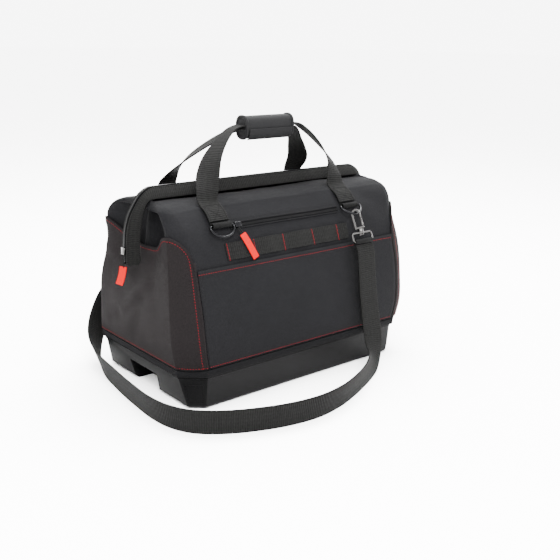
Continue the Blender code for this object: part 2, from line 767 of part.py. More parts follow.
def mouth_zip():
    """Zip between the halves of the mouth frame, its slider and the pull on its left leg."""
    line = mouth_line()
    last = len(line) - 1
    line[0] = line[0].lerp(line[1], ZIP_END_SHARE)
    line[last] = line[last].lerp(line[last - 1], ZIP_END_SHARE)
    centre = Vector(((CORNER_LEFT + CORNER_RIGHT) / 2, 0, SEAM))
    path = []
    for i, point in enumerate(line):
        along = (line[min(i + 1, last)] - line[max(i - 1, 0)]).normalized()
        inward = along.cross(Vector((0, 1, 0))).normalized()
        if inward.dot(centre - point) < 0:
            inward.negate()
        path.append(point + inward * ZIP_THICKNESS / 2)
    edges = [Vector((0, 1, 0))] * len(path)
    rings = ribbon_rings(path, edges, [ZIP_WIDTH] * len(path), ZIP_THICKNESS)
    loft("mouth_zip", rings, "zip_coil")
    place, down = leg_place(MOUTH_SLIDER_SHARE)
    out = down.cross(Vector((0, 1, 0))).normalized()
    if out.x > 0:
        out.negate()
    centre = place + out * (TOUCH + SLIDER_HEIGHT / 2)
    block("mouth_slider", centre, Vector((0, 1, 0)), -down, out,
          (SLIDER_WIDTH, SLIDER_LENGTH, SLIDER_HEIGHT), "black_metal")
    top = centre + down * (SLIDER_LENGTH / 2 + TOUCH)
    centres, widths = [], []
    for drop, width, swing in ((0.0, 0.25, 0.0), (0.48, 0.25, 0.02), (0.52, 0.9, 0.03), (0.75, 1.0, 0.14),
                               (1.0, 0.9, 0.20)):
        centres.append(top + Vector((-swing, 0, -drop)) * MOUTH_PULL_LENGTH)
        widths.append(width * PULL_WIDTH)
    rings = ribbon_rings(centres, [Vector((0, 1, 0))] * len(centres), widths, PULL_THICKNESS)
    loft("mouth_pull", rings, "red_tab")


def end_hem(place):
    """Return the height over the seam of an end pocket's hem at a place."""
    if place.kind == "face":
        return END_HEM_HEIGHT * END_HEM_FRONT_SHARE
    if place.kind == "corner":
        rise = (1 - END_HEM_FRONT_SHARE) * math.sin(place.share * math.pi / 2)
        return END_HEM_HEIGHT * (END_HEM_FRONT_SHARE + rise)
    return END_HEM_HEIGHT - END_HEM_DIP * ease((1 - abs(place.share)) / 0.7)


def end_pockets():
    """Cloth panels that wrap the corners and gape away from the folded ends."""
    for side_x, word in ((-1, "left"), (1, "right")):
        places = [SkinPlace("face", PANEL_EDGE_SHARE, side_x, -1)]
        places += [SkinPlace("corner", share, side_x, -1) for share in CORNER_SHARES]
        places += [SkinPlace("end", share, side_x, 0) for share in END_SHARES]
        places += [SkinPlace("corner", 1 - share, side_x, 1) for share in CORNER_SHARES]
        places += [SkinPlace("corner", 0.0, side_x, 1), SkinPlace("face", PANEL_EDGE_SHARE, side_x, 1)]
        if side_x < 0:
            places.reverse()
        rows = []
        for k in range(END_POCKET_ROWS + 1):
            share = k / END_POCKET_ROWS
            slack = 1 - (1 - END_POCKET_SLACK_SHARE) * ease(share * 1.2)
            heights = [PANEL_FOOT + share * (end_hem(p) - PANEL_FOOT) for p in places]
            rows.append([skin(p, h / BODY_HEIGHT, slack) for p, h in zip(places, heights)])
        sheet("end_pocket_" + word, lifted(rows, PANEL_GAP), PANEL, "end_cloth")


def front_pocket():
    """Pocket panel across the front, between the end pockets."""
    edge = PANEL_EDGE_SHARE - PANEL_SIDE_GAP / (BODY_LENGTH / 2 - BODY_CORNER)
    shares = (-edge,) + FACE_SHARES[2:-1] + (edge,)
    rows = []
    for k in range(FRONT_POCKET_ROWS + 1):
        height = PANEL_FOOT + k / FRONT_POCKET_ROWS * (POCKET_HEM_HEIGHT - PANEL_FOOT)
        height /= BODY_HEIGHT
        rows.append([skin(SkinPlace("face", abs(s), 1 if s > 0 else -1, -1), height) for s in shares])
    sheet("front_pocket", lifted(rows, PANEL_GAP), PANEL, "body_cloth")


def face_strip(name, left, right, low, high, columns, lift_at, thickness, finish):
    """Make a strip that lies on the front between two heights over the seam."""
    rows = []
    for height in (low, (low + high) / 2, high):
        row = []
        for k in range(columns + 1):
            share = k / columns
            point = face_point(left + (right - left) * share, height / BODY_HEIGHT, -1, lift_at(share))[0]
            row.append(point)
        rows.append(row)
    sheet(name, rows, thickness, finish)


def front_trim():
    """Tool webbing sewn in loops, the front zip, its slider and its red tab."""
    face_strip("tool_webbing", TOOL_WEBBING_LEFT, TOOL_WEBBING_RIGHT, TOOL_WEBBING_TOP - TOOL_WEBBING_WIDTH,
               TOOL_WEBBING_TOP, LOOP_COUNT * 4,
               lambda share: TOUCH + LOOP_RISE * math.sin(share * LOOP_COUNT * math.pi)**2,
               TOOL_WEBBING_THICKNESS, "webbing")
    left = handle_x(-1) + TAB_WIDTH / 2 + FRONT_ZIP_GAP_LEFT
    right = handle_x(1) - TAB_WIDTH / 2 - FRONT_ZIP_GAP_RIGHT
    slider_x = left + FRONT_SLIDER_INSET
    face_strip("front_zip", left, right, FRONT_ZIP_HEIGHT - FRONT_ZIP_DEPTH / 2,
               FRONT_ZIP_HEIGHT + FRONT_ZIP_DEPTH / 2, 8, lambda share: TOUCH, FRONT_ZIP_THICKNESS,
               "zip_coil")
    seat = 2 * TOUCH + FRONT_ZIP_THICKNESS + SLIDER_HEIGHT / 2
    centre, normal, upward = face_point(slider_x, FRONT_ZIP_HEIGHT / BODY_HEIGHT, -1, seat)
    block("front_slider", centre, Vector((1, 0, 0)), upward, normal,
          (SLIDER_LENGTH, SLIDER_WIDTH, SLIDER_HEIGHT), "black_metal")
    centres = []
    over = TOOL_WEBBING_THICKNESS + LOOP_RISE + 3 * TOUCH + PULL_THICKNESS
    for share, lift in ((0.0, 0.55), (0.3, 0.9), (0.7, 1.0), (1.0, 0.9)):
        x = slider_x + PULL_SWING * share
        height = FRONT_ZIP_HEIGHT - SLIDER_WIDTH / 2 - 2 * TOUCH - PULL_LENGTH * share
        centres.append(face_point(x, height / BODY_HEIGHT, -1, lift * over)[0])
    along = centres[-1] - centres[0]
    edge = along.cross(normal).normalized()
    rings = ribbon_rings(centres, [edge] * 4, [PULL_WIDTH * w for w in (0.45, 1.0, 1.0, 0.9)], PULL_THICKNESS)
    loft("front_pull", rings, "red_tab")


def handles():
    """The two webbing handles, from the cloth up, through the grip and down again."""
    for side_y, word in ((-1, "front"), (1, "back")):
        centres, edges, widths = [], [], []
        for side_x in (-1, 1):
            x = handle_x(side_x)
            arm_centres, arm_edges, arm_widths = [], [], []
            for share in (0.0, 0.5, 1.0):
                height = HANDLE_FOOT + (HANDLE_LIFT_OFF - HANDLE_FOOT) * share
                arm_centres.append(face_point(x, height / BODY_HEIGHT, side_y, HANDLE_LIFT)[0])
                arm_edges.append(Vector((-side_x, 0, 0)))
                arm_widths.append(WEBBING)
            root = arm_centres[-1]
            for row in HANDLE_ROWS:
                across = abs(root.y) * row.depth
                stack = -side_y * HANDLE_STACK / 2 * row.stack
                x = HANDLE_CENTRE + GRIP_SHIFT * row.shift + side_x * (HANDLE_SPACING / 2 * row.span + stack)
                arm_centres.append(Vector((x, side_y * across, root.z + HANDLE_RISE * row.rise + stack)))
                twist = math.radians(row.twist)
                arm_edges.append(Vector((-side_x * math.cos(twist), side_y * math.sin(twist), 0)))
                arm_widths.append(WEBBING * row.width)
            if side_x > 0:
                arm_centres.reverse()
                arm_edges.reverse()
                arm_widths.reverse()
            centres += arm_centres
            edges += arm_edges
            widths += arm_widths
        lengths = spans(centres)
        widths = [w.x for w in smooth_path([Vector((w, 0, 0)) for w in widths], lengths, HANDLE_STEPS)]
        rings = ribbon_rings(smooth_path(centres, lengths, HANDLE_STEPS),
                             smooth_path(edges, lengths, HANDLE_STEPS), widths, WEBBING_THICKNESS)
        loft("handle_" + word, rings, "webbing")


def grip_centre():
    """Return the middle of the grip, where both handles run through it."""
    root = face_point(handle_x(-1), HANDLE_LIFT_OFF / BODY_HEIGHT, -1, HANDLE_LIFT)[0]
    return Vector((HANDLE_CENTRE + GRIP_SHIFT, 0, root.z + HANDLE_RISE * HANDLE_ROWS[-1].rise))


def handle_grip():
    """Padded wrap round both handles, with a slot for them and a binding at each end."""
    centre = grip_centre()
    rings = []
    stations = ((-0.5, 0.0, 1), (-0.5, GRIP_BINDING, 1), (-0.5, GRIP_BINDING, 0),
                (0.5, -GRIP_BINDING, 0), (0.5, -GRIP_BINDING, 1), (0.5, 0.0, 1))
    for share, inset, proud in stations:
        ring = []
        for k in range(GRIP_SIDES):
            angle = math.tau * (k + 0.5) / GRIP_SIDES
            c, s = math.cos(angle), math.sin(angle)
            sink = GRIP_BINDING_PROUD * (1 - proud)
            y = math.copysign(abs(c)**GRIP_SQUARENESS, c) * (GRIP_DEPTH / 2 - sink)
            z = math.copysign(abs(s)**GRIP_SQUARENESS, s) * (GRIP_HEIGHT / 2 - sink)
            ring.append(centre + Vector((share * GRIP_LENGTH + inset, y, z)))
        rings.append(ring)
    grip = loft("handle_grip", rings, "webbing")
    slot_height = HANDLE_STACK + WEBBING_THICKNESS + 4 * TOUCH
    slot_width = WEBBING * HANDLE_ROWS[-1].width + GRIP_SLOT_PLAY
    slot = block("guide_slot", centre, Vector((1, 0, 0)), Vector((0, 0, 1)), Vector((0, 1, 0)),
                 (GRIP_LENGTH * 1.5, slot_height, slot_width), "webbing")
    cut_from(grip, slot)


def tab_frame(side_x, side_y):
    """Return the middle of a D-ring's bar and the directions up and off the cloth there."""
    x = handle_x(side_x)
    low = face_point(x, TAB_HEIGHT / BODY_HEIGHT, side_y)[0]
    high = face_point(x, (TAB_HEIGHT + TAB_TONGUE * TAB_SLOPE_SHARE) / BODY_HEIGHT, side_y)[0]
    along = (high - low).normalized()
    away = Vector((side_y, 0, 0)).cross(along).normalized()
    if away.y * side_y < 0:
        away.negate()
    centre = low + away * (HOLE_RADIUS + TAB_WALL + 2 * TOUCH)
    return centre, along, away


def ring_down(along, away, hooked):
    """Return the direction in which a D-ring hangs from its bar."""
    lean = math.radians(RING_LEAN_HOOKED if hooked else RING_LEAN_FREE)
    return -along * math.cos(lean) + away * math.sin(lean)


def rings_and_tabs():
    """The four D-rings in their folded tabs."""
    for side_x, hand in ((-1, "left"), (1, "right")):
        for side_y, face in ((-1, "front"), (1, "back")):
            centre, along, away = tab_frame(side_x, side_y)
            keyhole("ring_tab_" + face + "_" + hand, centre, along, away, HOLE_RADIUS, TAB_WALL,
                    TAB_TONGUE, TAB_WIDTH, "webbing")
            down = ring_down(along, away, side_x * side_y < 0)
            half = RING_WIDTH / 2
            path = [centre - Vector((half - RING_CORNER, 0, 0)), centre + Vector((half - RING_CORNER, 0, 0))]
            for k in range(RING_STEPS + 1):
                angle = math.pi * k / RING_STEPS
                drop = RING_CORNER + (RING_DROP - RING_CORNER) * math.sin(angle)
                path.append(centre + Vector((half * math.cos(angle), 0, 0)) + down * drop)
            across = Vector((1, 0, 0)).cross(down).normalized()
            ring = loft("d_ring_" + face + "_" + hand, wire_rings(path, RING_WIRE / 2, WIRE_SIDES, across),
                        "black_metal", closed=True)
            ring.data.shade_smooth()
            move_origin(ring, centre)


def hook_frame(side_x, side_y):
    """Return a hook's zero point on its bottom bar and its directions right, up and through."""
    centre, along, away = tab_frame(side_x, side_y)
    wire = centre + ring_down(along, away, True) * RING_DROP
    tilt = math.radians(HOOK_TILT)
    upward = Vector((0, -side_y * math.sin(tilt), math.cos(tilt)))
    turn = math.radians(HOOK_TURN)
    right = Vector((side_x * math.cos(turn), side_y * math.sin(turn), 0))
    right = (right - upward * right.dot(upward)).normalized()
    deep = right.cross(upward)
    seat = HOOK_WIRE / 2 + HOOK_EYE_HEIGHT - RING_WIRE / 2 - HOOK_SEAT
    return wire - upward * seat, right, upward, deep


def snap_hooks():
    """The hooks on the D-rings, each with its gate, its swivel shank and its base loop."""
    eye = HOOK_EYE_WIDTH / 2
    rim = eye + HOOK_WIRE
    low = HOOK_WIRE / 2
    crown = low + HOOK_EYE_HEIGHT - eye
    boss_top = -low - TOUCH
    boss_low = boss_top - BASE_BOSS_HEIGHT
    shank = SHANK_WIDTH / 2
    head_top = boss_low - TOUCH
    head_low = head_top - SHANK_HEAD_HEIGHT
    outline = [(-shank, -low), (-shank, head_top), (-SHANK_HEAD / 2, head_top),
               (-SHANK_HEAD / 2, head_low), (SHANK_HEAD / 2, head_low), (SHANK_HEAD / 2, head_top),
               (shank, head_top), (shank, -low), (rim, -low), (rim, low), (-eye, low)]
    for k in range(HOOK_STEPS + 1):
        angle = math.pi * (1 - k / HOOK_STEPS)
        outline.append((eye * math.cos(angle), crown + eye * math.sin(angle)))
    outline += [(eye, crown - NOSE_DROP), (rim, crown - NOSE_DROP)]
    for k in range(HOOK_STEPS + 1):
        angle = math.pi * k / HOOK_STEPS
        outline.append((rim * math.cos(angle), crown + rim * math.sin(angle)))
    outline.append((-rim, -low))
    for side_x, side_y, word in ((1, -1, "front"), (-1, 1, "back")):
        zero, right, upward, deep = hook_frame(side_x, side_y)
        prism("hook_body_" + word, outline, zero, right, upward, deep, HOOK_THICKNESS, "black_metal")
        gate_low = low + PIN_PLAY
        gate_high = crown - NOSE_DROP - PIN_PLAY
        side = (eye + rim) / 2
        hinge = zero + right * side + upward * (gate_low + GATE_WIDTH / 2)
        gate = block("hook_gate_" + word, zero + right * side + upward * (gate_low + gate_high) / 2, right,
                     upward, deep, (GATE_WIDTH, gate_high - gate_low, HOOK_THICKNESS), "black_metal")
        move_origin(gate, hinge)
        bar_x = (BASE_WIDTH - BASE_BAR) / 2
        bar_top = boss_low + BASE_BAR / 2 + TOUCH
        bar_low = bar_top - BASE_HEIGHT + BASE_BAR
        corner = BASE_BAR * BASE_CORNER_SHARE
        path = []
        for a, height, inward in ((-1, bar_top, -1), (1, bar_top, -1), (1, bar_low, 1), (-1, bar_low, 1)):
            on_side = zero + Vector((a * bar_x, 0, 0)) + upward * (height + inward * corner)
            on_bar = zero + Vector((a * (bar_x - corner), 0, 0)) + upward * height
            path += [on_side, on_bar] if a * inward > 0 else [on_bar, on_side]
        across = Vector((1, 0, 0)).cross(upward).normalized()
        base = loft("hook_base_" + word, wire_rings(path, BASE_BAR / 2, WIRE_SIDES, across), "black_metal",
                    closed=True)
        round_boss("guide_boss_" + word, base, zero, upward, BASE_BOSS / 2, boss_low, boss_top, "UNION")
        round_boss("guide_bore_" + word, base, zero, upward, shank * math.sqrt(2) + PIN_PLAY,
                   boss_low - BASE_BAR, boss_top + BASE_BAR, "DIFFERENCE")


def round_boss(name, base, zero, upward, radius, low, high, operation):
    """Join a round stud to a base loop or bore a round hole in it."""
    sideways = Vector((1, 0, 0))
    across = upward.cross(sideways)
    rings = []
    for height in (low, high):
        rings.append([zero + upward * height
                      + (sideways * math.cos(math.tau * k / BOSS_SIDES)
                         + across * math.sin(math.tau * k / BOSS_SIDES)) * radius
                      for k in range(BOSS_SIDES)])
    cut_from(base, loft(name, rings, "black_metal"), operation)


def strap_bar(side_x, side_y):
    """Return the middle of a base loop's lower bar and the directions down and off the cloth."""
    zero, _, upward, _ = hook_frame(side_x, side_y)
    boss_low = -HOOK_WIRE / 2 - TOUCH - BASE_BOSS_HEIGHT
    bar_low = boss_low + BASE_BAR / 2 + TOUCH - BASE_HEIGHT + BASE_BAR
    tilt = math.radians(HOOK_TILT)
    away = Vector((0, side_y * math.cos(tilt), math.sin(tilt)))
    return zero + upward * bar_low, -upward, away


def strap_points():
    """Return the strap's centre points and edge directions from the front hook to the back one."""
    ends = []
    for side_x, side_y in ((1, -1), (-1, 1)):
        bar, down, away = strap_bar(side_x, side_y)
        flat = away * (TOUCH + STRAP_THICKNESS / 2 - BAR_HOLE)
        start = bar + down * (BAR_HOLE + TAB_WALL + 2 * TOUCH) + flat
        ends.append((bar, start, bar + down * STRAP_TONGUE + flat))
    (front_bar, front_start, front_end), (back_bar, back_start, back_end) = ends
    points, edges = [front_start, front_end], [Vector((-1, 0, 0))] * 2
    for row in STRAP_FRONT_HANG:
        points.append(Vector((front_bar.x + row.along * STRAP_WIDTH, row.across * TRAY_WIDTH / 2,
                              row.height * front_bar.z)))
        edges.append(Vector(row.lean))
    for row in STRAP_FLOOR:
        points.append(Vector((row.along * TRAY_LENGTH / 2, row.across * TRAY_WIDTH / 2,
                              row.height * STRAP_WIDTH)))
        edges.append(Vector(row.lean))
    for row in STRAP_BACK_HANG:
        points.append(Vector((back_bar.x + row.along * STRAP_WIDTH, row.across * TRAY_WIDTH / 2,
                              row.height * back_bar.z)))
        edges.append(Vector(row.lean))
    points += [back_end, back_start]
    edges += [Vector((-1, 0, 0))] * 2
    return points, edges


def shoulder_strap():
    """The long strap and its two folded ends."""
    for side_x, side_y, word in ((1, -1, "front"), (-1, 1, "back")):
        bar, down, away = strap_bar(side_x, side_y)
        keyhole("strap_end_" + word, bar, down, away, BAR_HOLE, TAB_WALL, STRAP_TONGUE, STRAP_WIDTH,
                "webbing")
    points, edges = strap_points()
    lengths = spans(points)
    path = smooth_path(points, lengths, STRAP_STEPS)
    rings = ribbon_rings(path, smooth_path(edges, lengths, STRAP_STEPS), [STRAP_WIDTH] * len(path),
                         STRAP_THICKNESS)
    loft("shoulder_strap", rings, "webbing")


def main():
    """Build every piece of the bag."""
    clear_scene()
    base_tray()
    base_welt()
    body_shell()
    mouth_bands()
    mouth_zip()
    end_pockets()
    front_pocket()
    front_trim()
    handles()
    handle_grip()
    rings_and_tabs()
    snap_hooks()
    shoulder_strap()


main()
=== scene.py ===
"""Tool bag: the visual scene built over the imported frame. Metres, +Z up, front towards -Y."""

import functools
import logging
import math
from dataclasses import dataclass
from enum import Enum
from typing import Callable, ClassVar, NamedTuple, Sequence

import bmesh
import bpy
from mathutils import Matrix, Vector, noise
from mathutils.bvhtree import BVHTree


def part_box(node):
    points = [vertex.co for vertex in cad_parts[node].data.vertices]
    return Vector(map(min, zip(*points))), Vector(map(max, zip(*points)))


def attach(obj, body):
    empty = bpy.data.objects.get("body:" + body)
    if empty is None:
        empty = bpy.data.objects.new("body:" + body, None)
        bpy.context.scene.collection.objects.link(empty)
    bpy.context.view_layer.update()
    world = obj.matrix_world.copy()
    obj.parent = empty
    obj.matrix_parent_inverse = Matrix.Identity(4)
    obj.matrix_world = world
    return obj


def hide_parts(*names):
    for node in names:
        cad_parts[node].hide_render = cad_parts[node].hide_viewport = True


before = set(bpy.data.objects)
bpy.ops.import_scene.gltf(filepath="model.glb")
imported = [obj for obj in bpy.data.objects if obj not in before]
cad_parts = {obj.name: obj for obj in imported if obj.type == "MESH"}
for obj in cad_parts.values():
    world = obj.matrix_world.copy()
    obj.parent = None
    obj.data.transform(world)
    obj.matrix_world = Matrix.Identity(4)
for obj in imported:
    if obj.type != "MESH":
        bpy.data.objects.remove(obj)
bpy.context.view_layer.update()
LOG = logging.getLogger("tool_bag")

X_AXIS = Vector((1, 0, 0))
Y_AXIS = Vector((0, 1, 0))
Z_AXIS = Vector((0, 0, 1))
WELD = 0.00002
CREASE_END = 0.08
CREASE_LEAST = 0.35
BODY_HEART = Vector((0, 0, 0.16))
THREAD_LIFT = 0.0001
DARK_GAP = 0.0036
DARK_STITCH = (0.0026, 0.0006, 0.0005)


class Zone(Enum):
    """Part of the cloth body that a place lies on."""

    FACE = "front or back"
    CORNER = "cut corner"
    END = "folded end"


class Texture(Enum):
    """Fine relief of a finish."""

    WOVEN = "canvas weave"
    RIBBED = "ribs across webbing"
    GRAINED = "moulded grain"
    SMOOTH = "none"


Line = list[tuple[Vector, Vector]]


class Place(NamedTuple):
    """Place around the body: a share along its zone, and the signs of its end and side."""

    zone: Zone
    share: float
    side_x: int
    side_y: int


class Level(NamedTuple):
    """Body shape at a height, as shares of the sizes in BodyShape."""

    height: float
    length: float
    width: float
    corner: float
    tuck: float
    notch: float
    swell: float
    corner_drop: float
    end_drop: float


class HandleRow(NamedTuple):
    """Free part of a handle, as shares of the sizes in HandleSizes, with its twist in degrees."""

    span: float
    depth: float
    rise: float
    shift: float
    twist: float
    width: float
    stack: float


class LegRow(NamedTuple):
    """Leg of the mouth frame, as shares of its drop, splay and spread."""

    zip_down: float
    zip_out: float
    edge_down: float
    edge_out: float
    side: float


class StrapRow(NamedTuple):
    """Point of the strap's route and the direction of its upper or left edge."""

    along: float
    across: float
    height: float
    lean: tuple[float, float, float]


class Crease(NamedTuple):
    """Soft fold in the cloth along a line, proud if its height is positive."""

    start: tuple[float, float, float]
    end: tuple[float, float, float]
    width: float
    height: float

    def at(self, point: Vector) -> float:
        """Return the fold's height at a point, lower towards its ends."""
        start, along = Vector(self.start), Vector(self.end) - Vector(self.start)
        t = min(max((point - start).dot(along) / along.length_squared, 0.0), 1.0)
        near = (point - start - along * t).length / self.width
        middle = math.sin(math.pi * min(max(t, CREASE_END), 1 - CREASE_END))
        return self.height * math.exp(-near * near) * (CREASE_LEAST + (1 - CREASE_LEAST) * middle)


class Lamp(NamedTuple):
    """Square light: its name, place, side in metres and power in watts."""

    name: str
    place: tuple[float, float, float]
    size: float
    power: float


class Ripple(NamedTuple):
    """Noise in the cloth: its height, its pitch along each axis and a shift of its pattern."""

    height: float
    pitch: tuple[float, float, float]
    shift: float

    def at(self, point: Vector) -> float:
        """Return the noise's height at a point."""
        x, y, z = (number / pitch for number, pitch in zip(point, self.pitch))
        return noise.noise(Vector((x + self.shift, y, z))) * self.height


class Ear(NamedTuple):
    """Peak that the cloth is drawn out to near a point."""

    point: tuple[float, float, float]
    shift: tuple[float, float, float]
    reach: float


LEVELS = (
    Level(0.000, 1.000, 1.000, 1.00, 0.00, 0.00, 0.00, 0.0, 0.0),
    Level(0.070, 1.010, 0.990, 1.00, 0.00, 0.00, 0.25, 0.0, 0.0),
    Level(0.180, 1.014, 0.965, 1.00, 0.00, 0.00, 0.60, 0.0, 0.0),
    Level(0.320, 1.013, 0.928, 0.98, 0.03, 0.05, 0.82, 0.0, 0.0),
    Level(0.450, 1.007, 0.886, 0.93, 0.20, 0.45, 0.90, 0.0, 0.0),
    Level(0.575, 0.994, 0.835, 0.86, 0.58, 0.95, 0.92, 0.0, 0.0),
    Level(0.680, 0.982, 0.782, 0.79, 0.90, 1.00, 0.95, 0.0, 0.0),
    Level(0.775, 0.968, 0.722, 0.72, 1.00, 1.00, 1.00, 0.0, 0.0),
    Level(0.855, 0.957, 0.650, 0.62, 1.00, 1.05, 1.00, 0.0, 0.0),
    Level(0.922, 0.949, 0.556, 0.52, 0.95, 1.10, 1.00, 0.4, 0.6),
    Level(0.956, 0.947, 0.496, 0.46, 1.00, 1.00, 0.94, 0.7, 0.8),
    Level(0.974, 0.944, 0.456, 0.42, 0.14, 0.45, 0.90, 0.9, 0.9),
    Level(0.995, 0.928, 0.316, 0.30, 0.08, 0.35, 0.85, 0.4, 0.5),
    Level(1.000, 0.897, 0.130, 0.10, 0.00, 0.10, 0.85, 0.1, -0.6),
)

HANDLE_ROWS = (
    HandleRow(0.990, 0.900, 0.160, 0.10, 12, 1.00, 0.0),
    HandleRow(0.965, 0.740, 0.340, 0.28, 36, 1.00, 0.0),
    HandleRow(0.860, 0.540, 0.560, 0.40, 58, 0.90, 0.6),
    HandleRow(0.700, 0.310, 0.775, 0.62, 76, 0.72, 1.0),
    HandleRow(0.550, 0.110, 0.925, 0.85, 88, 0.62, 1.0),
    HandleRow(0.440, 0.040, 0.985, 1.00, 90, 0.60, 1.0),
    HandleRow(0.320, 0.040, 0.998, 1.00, 90, 0.60, 1.0),
)

LEG_ROWS = (
    LegRow(0.000, -0.25, 0.146, -0.20, 1.00),
    LegRow(0.022, 0.00, 0.150, 0.02, 0.98),
    LegRow(0.095, 0.30, 0.180, 0.17, 0.94),
    LegRow(0.215, 0.56, 0.260, 0.29, 0.86),
    LegRow(0.370, 0.80, 0.390, 0.38, 0.78),
    LegRow(0.570, 0.95, 0.575, 0.45, 0.72),
    LegRow(0.800, 1.00, 0.800, 0.50, 0.70),
    LegRow(1.000, 1.00, 1.000, 0.50, 0.68),
)

STRAP_FRONT_HANG = (
    StrapRow(0.00, -1.050, 0.780, (-1.00, 0.00, 0.00)),
    StrapRow(0.02, -1.085, 0.600, (-1.00, 0.02, 0.04)),
    StrapRow(0.04, -1.135, 0.420, (-0.99, 0.06, 0.10)),
    StrapRow(0.00, -1.205, 0.250, (-0.90, 0.15, 0.35)),
)
STRAP_FLOOR = (
    StrapRow(0.495, -1.320, 0.700, (-0.55, 0.15, 0.80)),
    StrapRow(0.380, -1.460, 0.530, (-0.20, 0.05, 0.97)),
    StrapRow(0.226, -1.607, 0.505, (0.00, -0.05, 1.00)),
    StrapRow(0.052, -1.738, 0.505, (0.00, -0.12, 0.99)),
    StrapRow(-0.130, -1.840, 0.505, (0.00, -0.14, 0.99)),
    StrapRow(-0.348, -1.891, 0.505, (0.00, -0.13, 0.99)),
    StrapRow(-0.587, -1.840, 0.505, (0.00, -0.13, 0.99)),
    StrapRow(-0.804, -1.716, 0.505, (-0.02, -0.12, 0.99)),
    StrapRow(-0.978, -1.564, 0.505, (-0.06, -0.10, 0.99)),
    StrapRow(-1.117, -1.360, 0.505, (-0.10, -0.07, 0.99)),
    StrapRow(-1.191, -1.105, 0.505, (-0.13, -0.03, 0.99)),
    StrapRow(-1.213, -0.800, 0.505, (-0.15, 0.00, 0.99)),
    StrapRow(-1.202, -0.473, 0.505, (-0.15, 0.00, 0.99)),
    StrapRow(-1.183, -0.145, 0.505, (-0.15, 0.00, 0.99)),
    StrapRow(-1.157, 0.182, 0.505, (-0.16, 0.00, 0.99)),
    StrapRow(-1.126, 0.510, 0.515, (-0.22, -0.02, 0.97)),
    StrapRow(-1.087, 0.785, 0.667, (-0.42, -0.12, 0.90)),
    StrapRow(-1.026, 1.018, 1.080, (-0.68, -0.10, 0.72)),
    StrapRow(-0.940, 1.164, 1.800, (-0.84, 0.02, 0.52)),
)
STRAP_BACK_HANG = (
    StrapRow(-1.380, 1.193, 0.500, (-0.92, 0.05, 0.36)),
    StrapRow(-0.640, 1.140, 0.640, (-0.96, 0.04, 0.24)),
    StrapRow(-0.120, 1.055, 0.790, (-1.00, 0.00, 0.00)),
)

LAMPS = (
    Lamp("key_light", (-0.9, -1.6, 1.9), 0.9, 230.0),
    Lamp("top_light", (0.5, 0.4, 2.0), 1.4, 240.0),
    Lamp("side_light", (-2.0, 0.6, 1.1), 0.9, 25.0),
)

EARS = (
    Ear((-0.218, 0.071, 0.272), (-0.007, 0.014, 0.005), 0.034),
    Ear((-0.219, -0.055, 0.289), (-0.005, -0.005, 0.005), 0.016),
    Ear((0.233, -0.070, 0.285), (0.005, -0.004, 0.005), 0.034),
    Ear((0.233, 0.070, 0.280), (0.004, 0.006, 0.003), 0.034),
)

CREASES = (
    Crease((-0.236, -0.078, 0.222), (-0.236, 0.040, 0.122), 0.0095, 0.0050),
    Crease((-0.236, -0.050, 0.178), (-0.236, 0.075, 0.098), 0.0120, -0.0038),
    Crease((-0.236, 0.015, 0.180), (-0.236, 0.092, 0.218), 0.0090, 0.0034),
    Crease((-0.236, -0.020, 0.150), (-0.236, 0.010, 0.075), 0.0140, -0.0030),
    Crease((-0.140, -0.120, 0.220), (-0.196, -0.108, 0.270), 0.0110, 0.0030),
    Crease((-0.165, -0.128, 0.215), (-0.196, -0.118, 0.240), 0.0080, -0.0022),
    Crease((0.150, -0.105, 0.265), (0.212, -0.122, 0.220), 0.0120, 0.0030),
    Crease((0.160, -0.080, 0.288), (0.212, -0.095, 0.262), 0.0110, -0.0024),
    Crease((-0.090, -0.080, 0.290), (0.060, -0.080, 0.288), 0.0120, -0.0020),
    Crease((-0.080, -0.138, 0.150), (0.050, -0.138, 0.105), 0.0300, -0.0022),
    Crease((0.252, -0.060, 0.225), (0.252, 0.050, 0.140), 0.0100, 0.0040),
    Crease((-0.100, 0.095, 0.265), (0.070, 0.095, 0.262), 0.0150, -0.0020),
)


def ease(share: float) -> float:
    """Return a soft step from 0 to 1."""
    share = min(max(share, 0.0), 1.0)
    return share * share * (3 - 2 * share)


def steps(low: float, high: float, count: int) -> list[float]:
    """Return evenly spaced numbers from low to high, both kept."""
    return [low + (high - low) * k / count for k in range(count + 1)]


def hermite(start: float | Vector, end: float | Vector, leave: float | Vector, arrive: float | Vector,
            t: float) -> float | Vector:
    """Return a value on a cubic between two values with their slopes."""
    return (start * (2 * t**3 - 3 * t**2 + 1) + leave * (t**3 - 2 * t**2 + t)
            + end * (3 * t**2 - 2 * t**3) + arrive * (t**3 - t**2))


@functools.lru_cache(maxsize=None)
def level_at(height: float) -> Level:
    """Return the body's level at a share of its height.

    Args:
        height: share of the body's height, from 0 at the seam to 1.

    Returns:
        The level, on a smooth curve through the rows of LEVELS.
    """
    height = min(max(height, 0.0), 1.0)
    i = max(k for k in range(len(LEVELS) - 1) if LEVELS[k].height <= height)
    span = LEVELS[i + 1].height - LEVELS[i].height

    def slope(k: int, column: int) -> float:
        """Return a column's slope at a row, over the span."""
        before, after = LEVELS[max(k - 1, 0)], LEVELS[min(k + 1, len(LEVELS) - 1)]
        return (after[column] - before[column]) / (after.height - before.height) * span

    low, high, t = LEVELS[i], LEVELS[i + 1], (height - LEVELS[i].height) / span
    return Level(height, *(hermite(low[c], high[c], slope(i, c), slope(i + 1, c), t)
                           for c in range(1, len(Level._fields))))


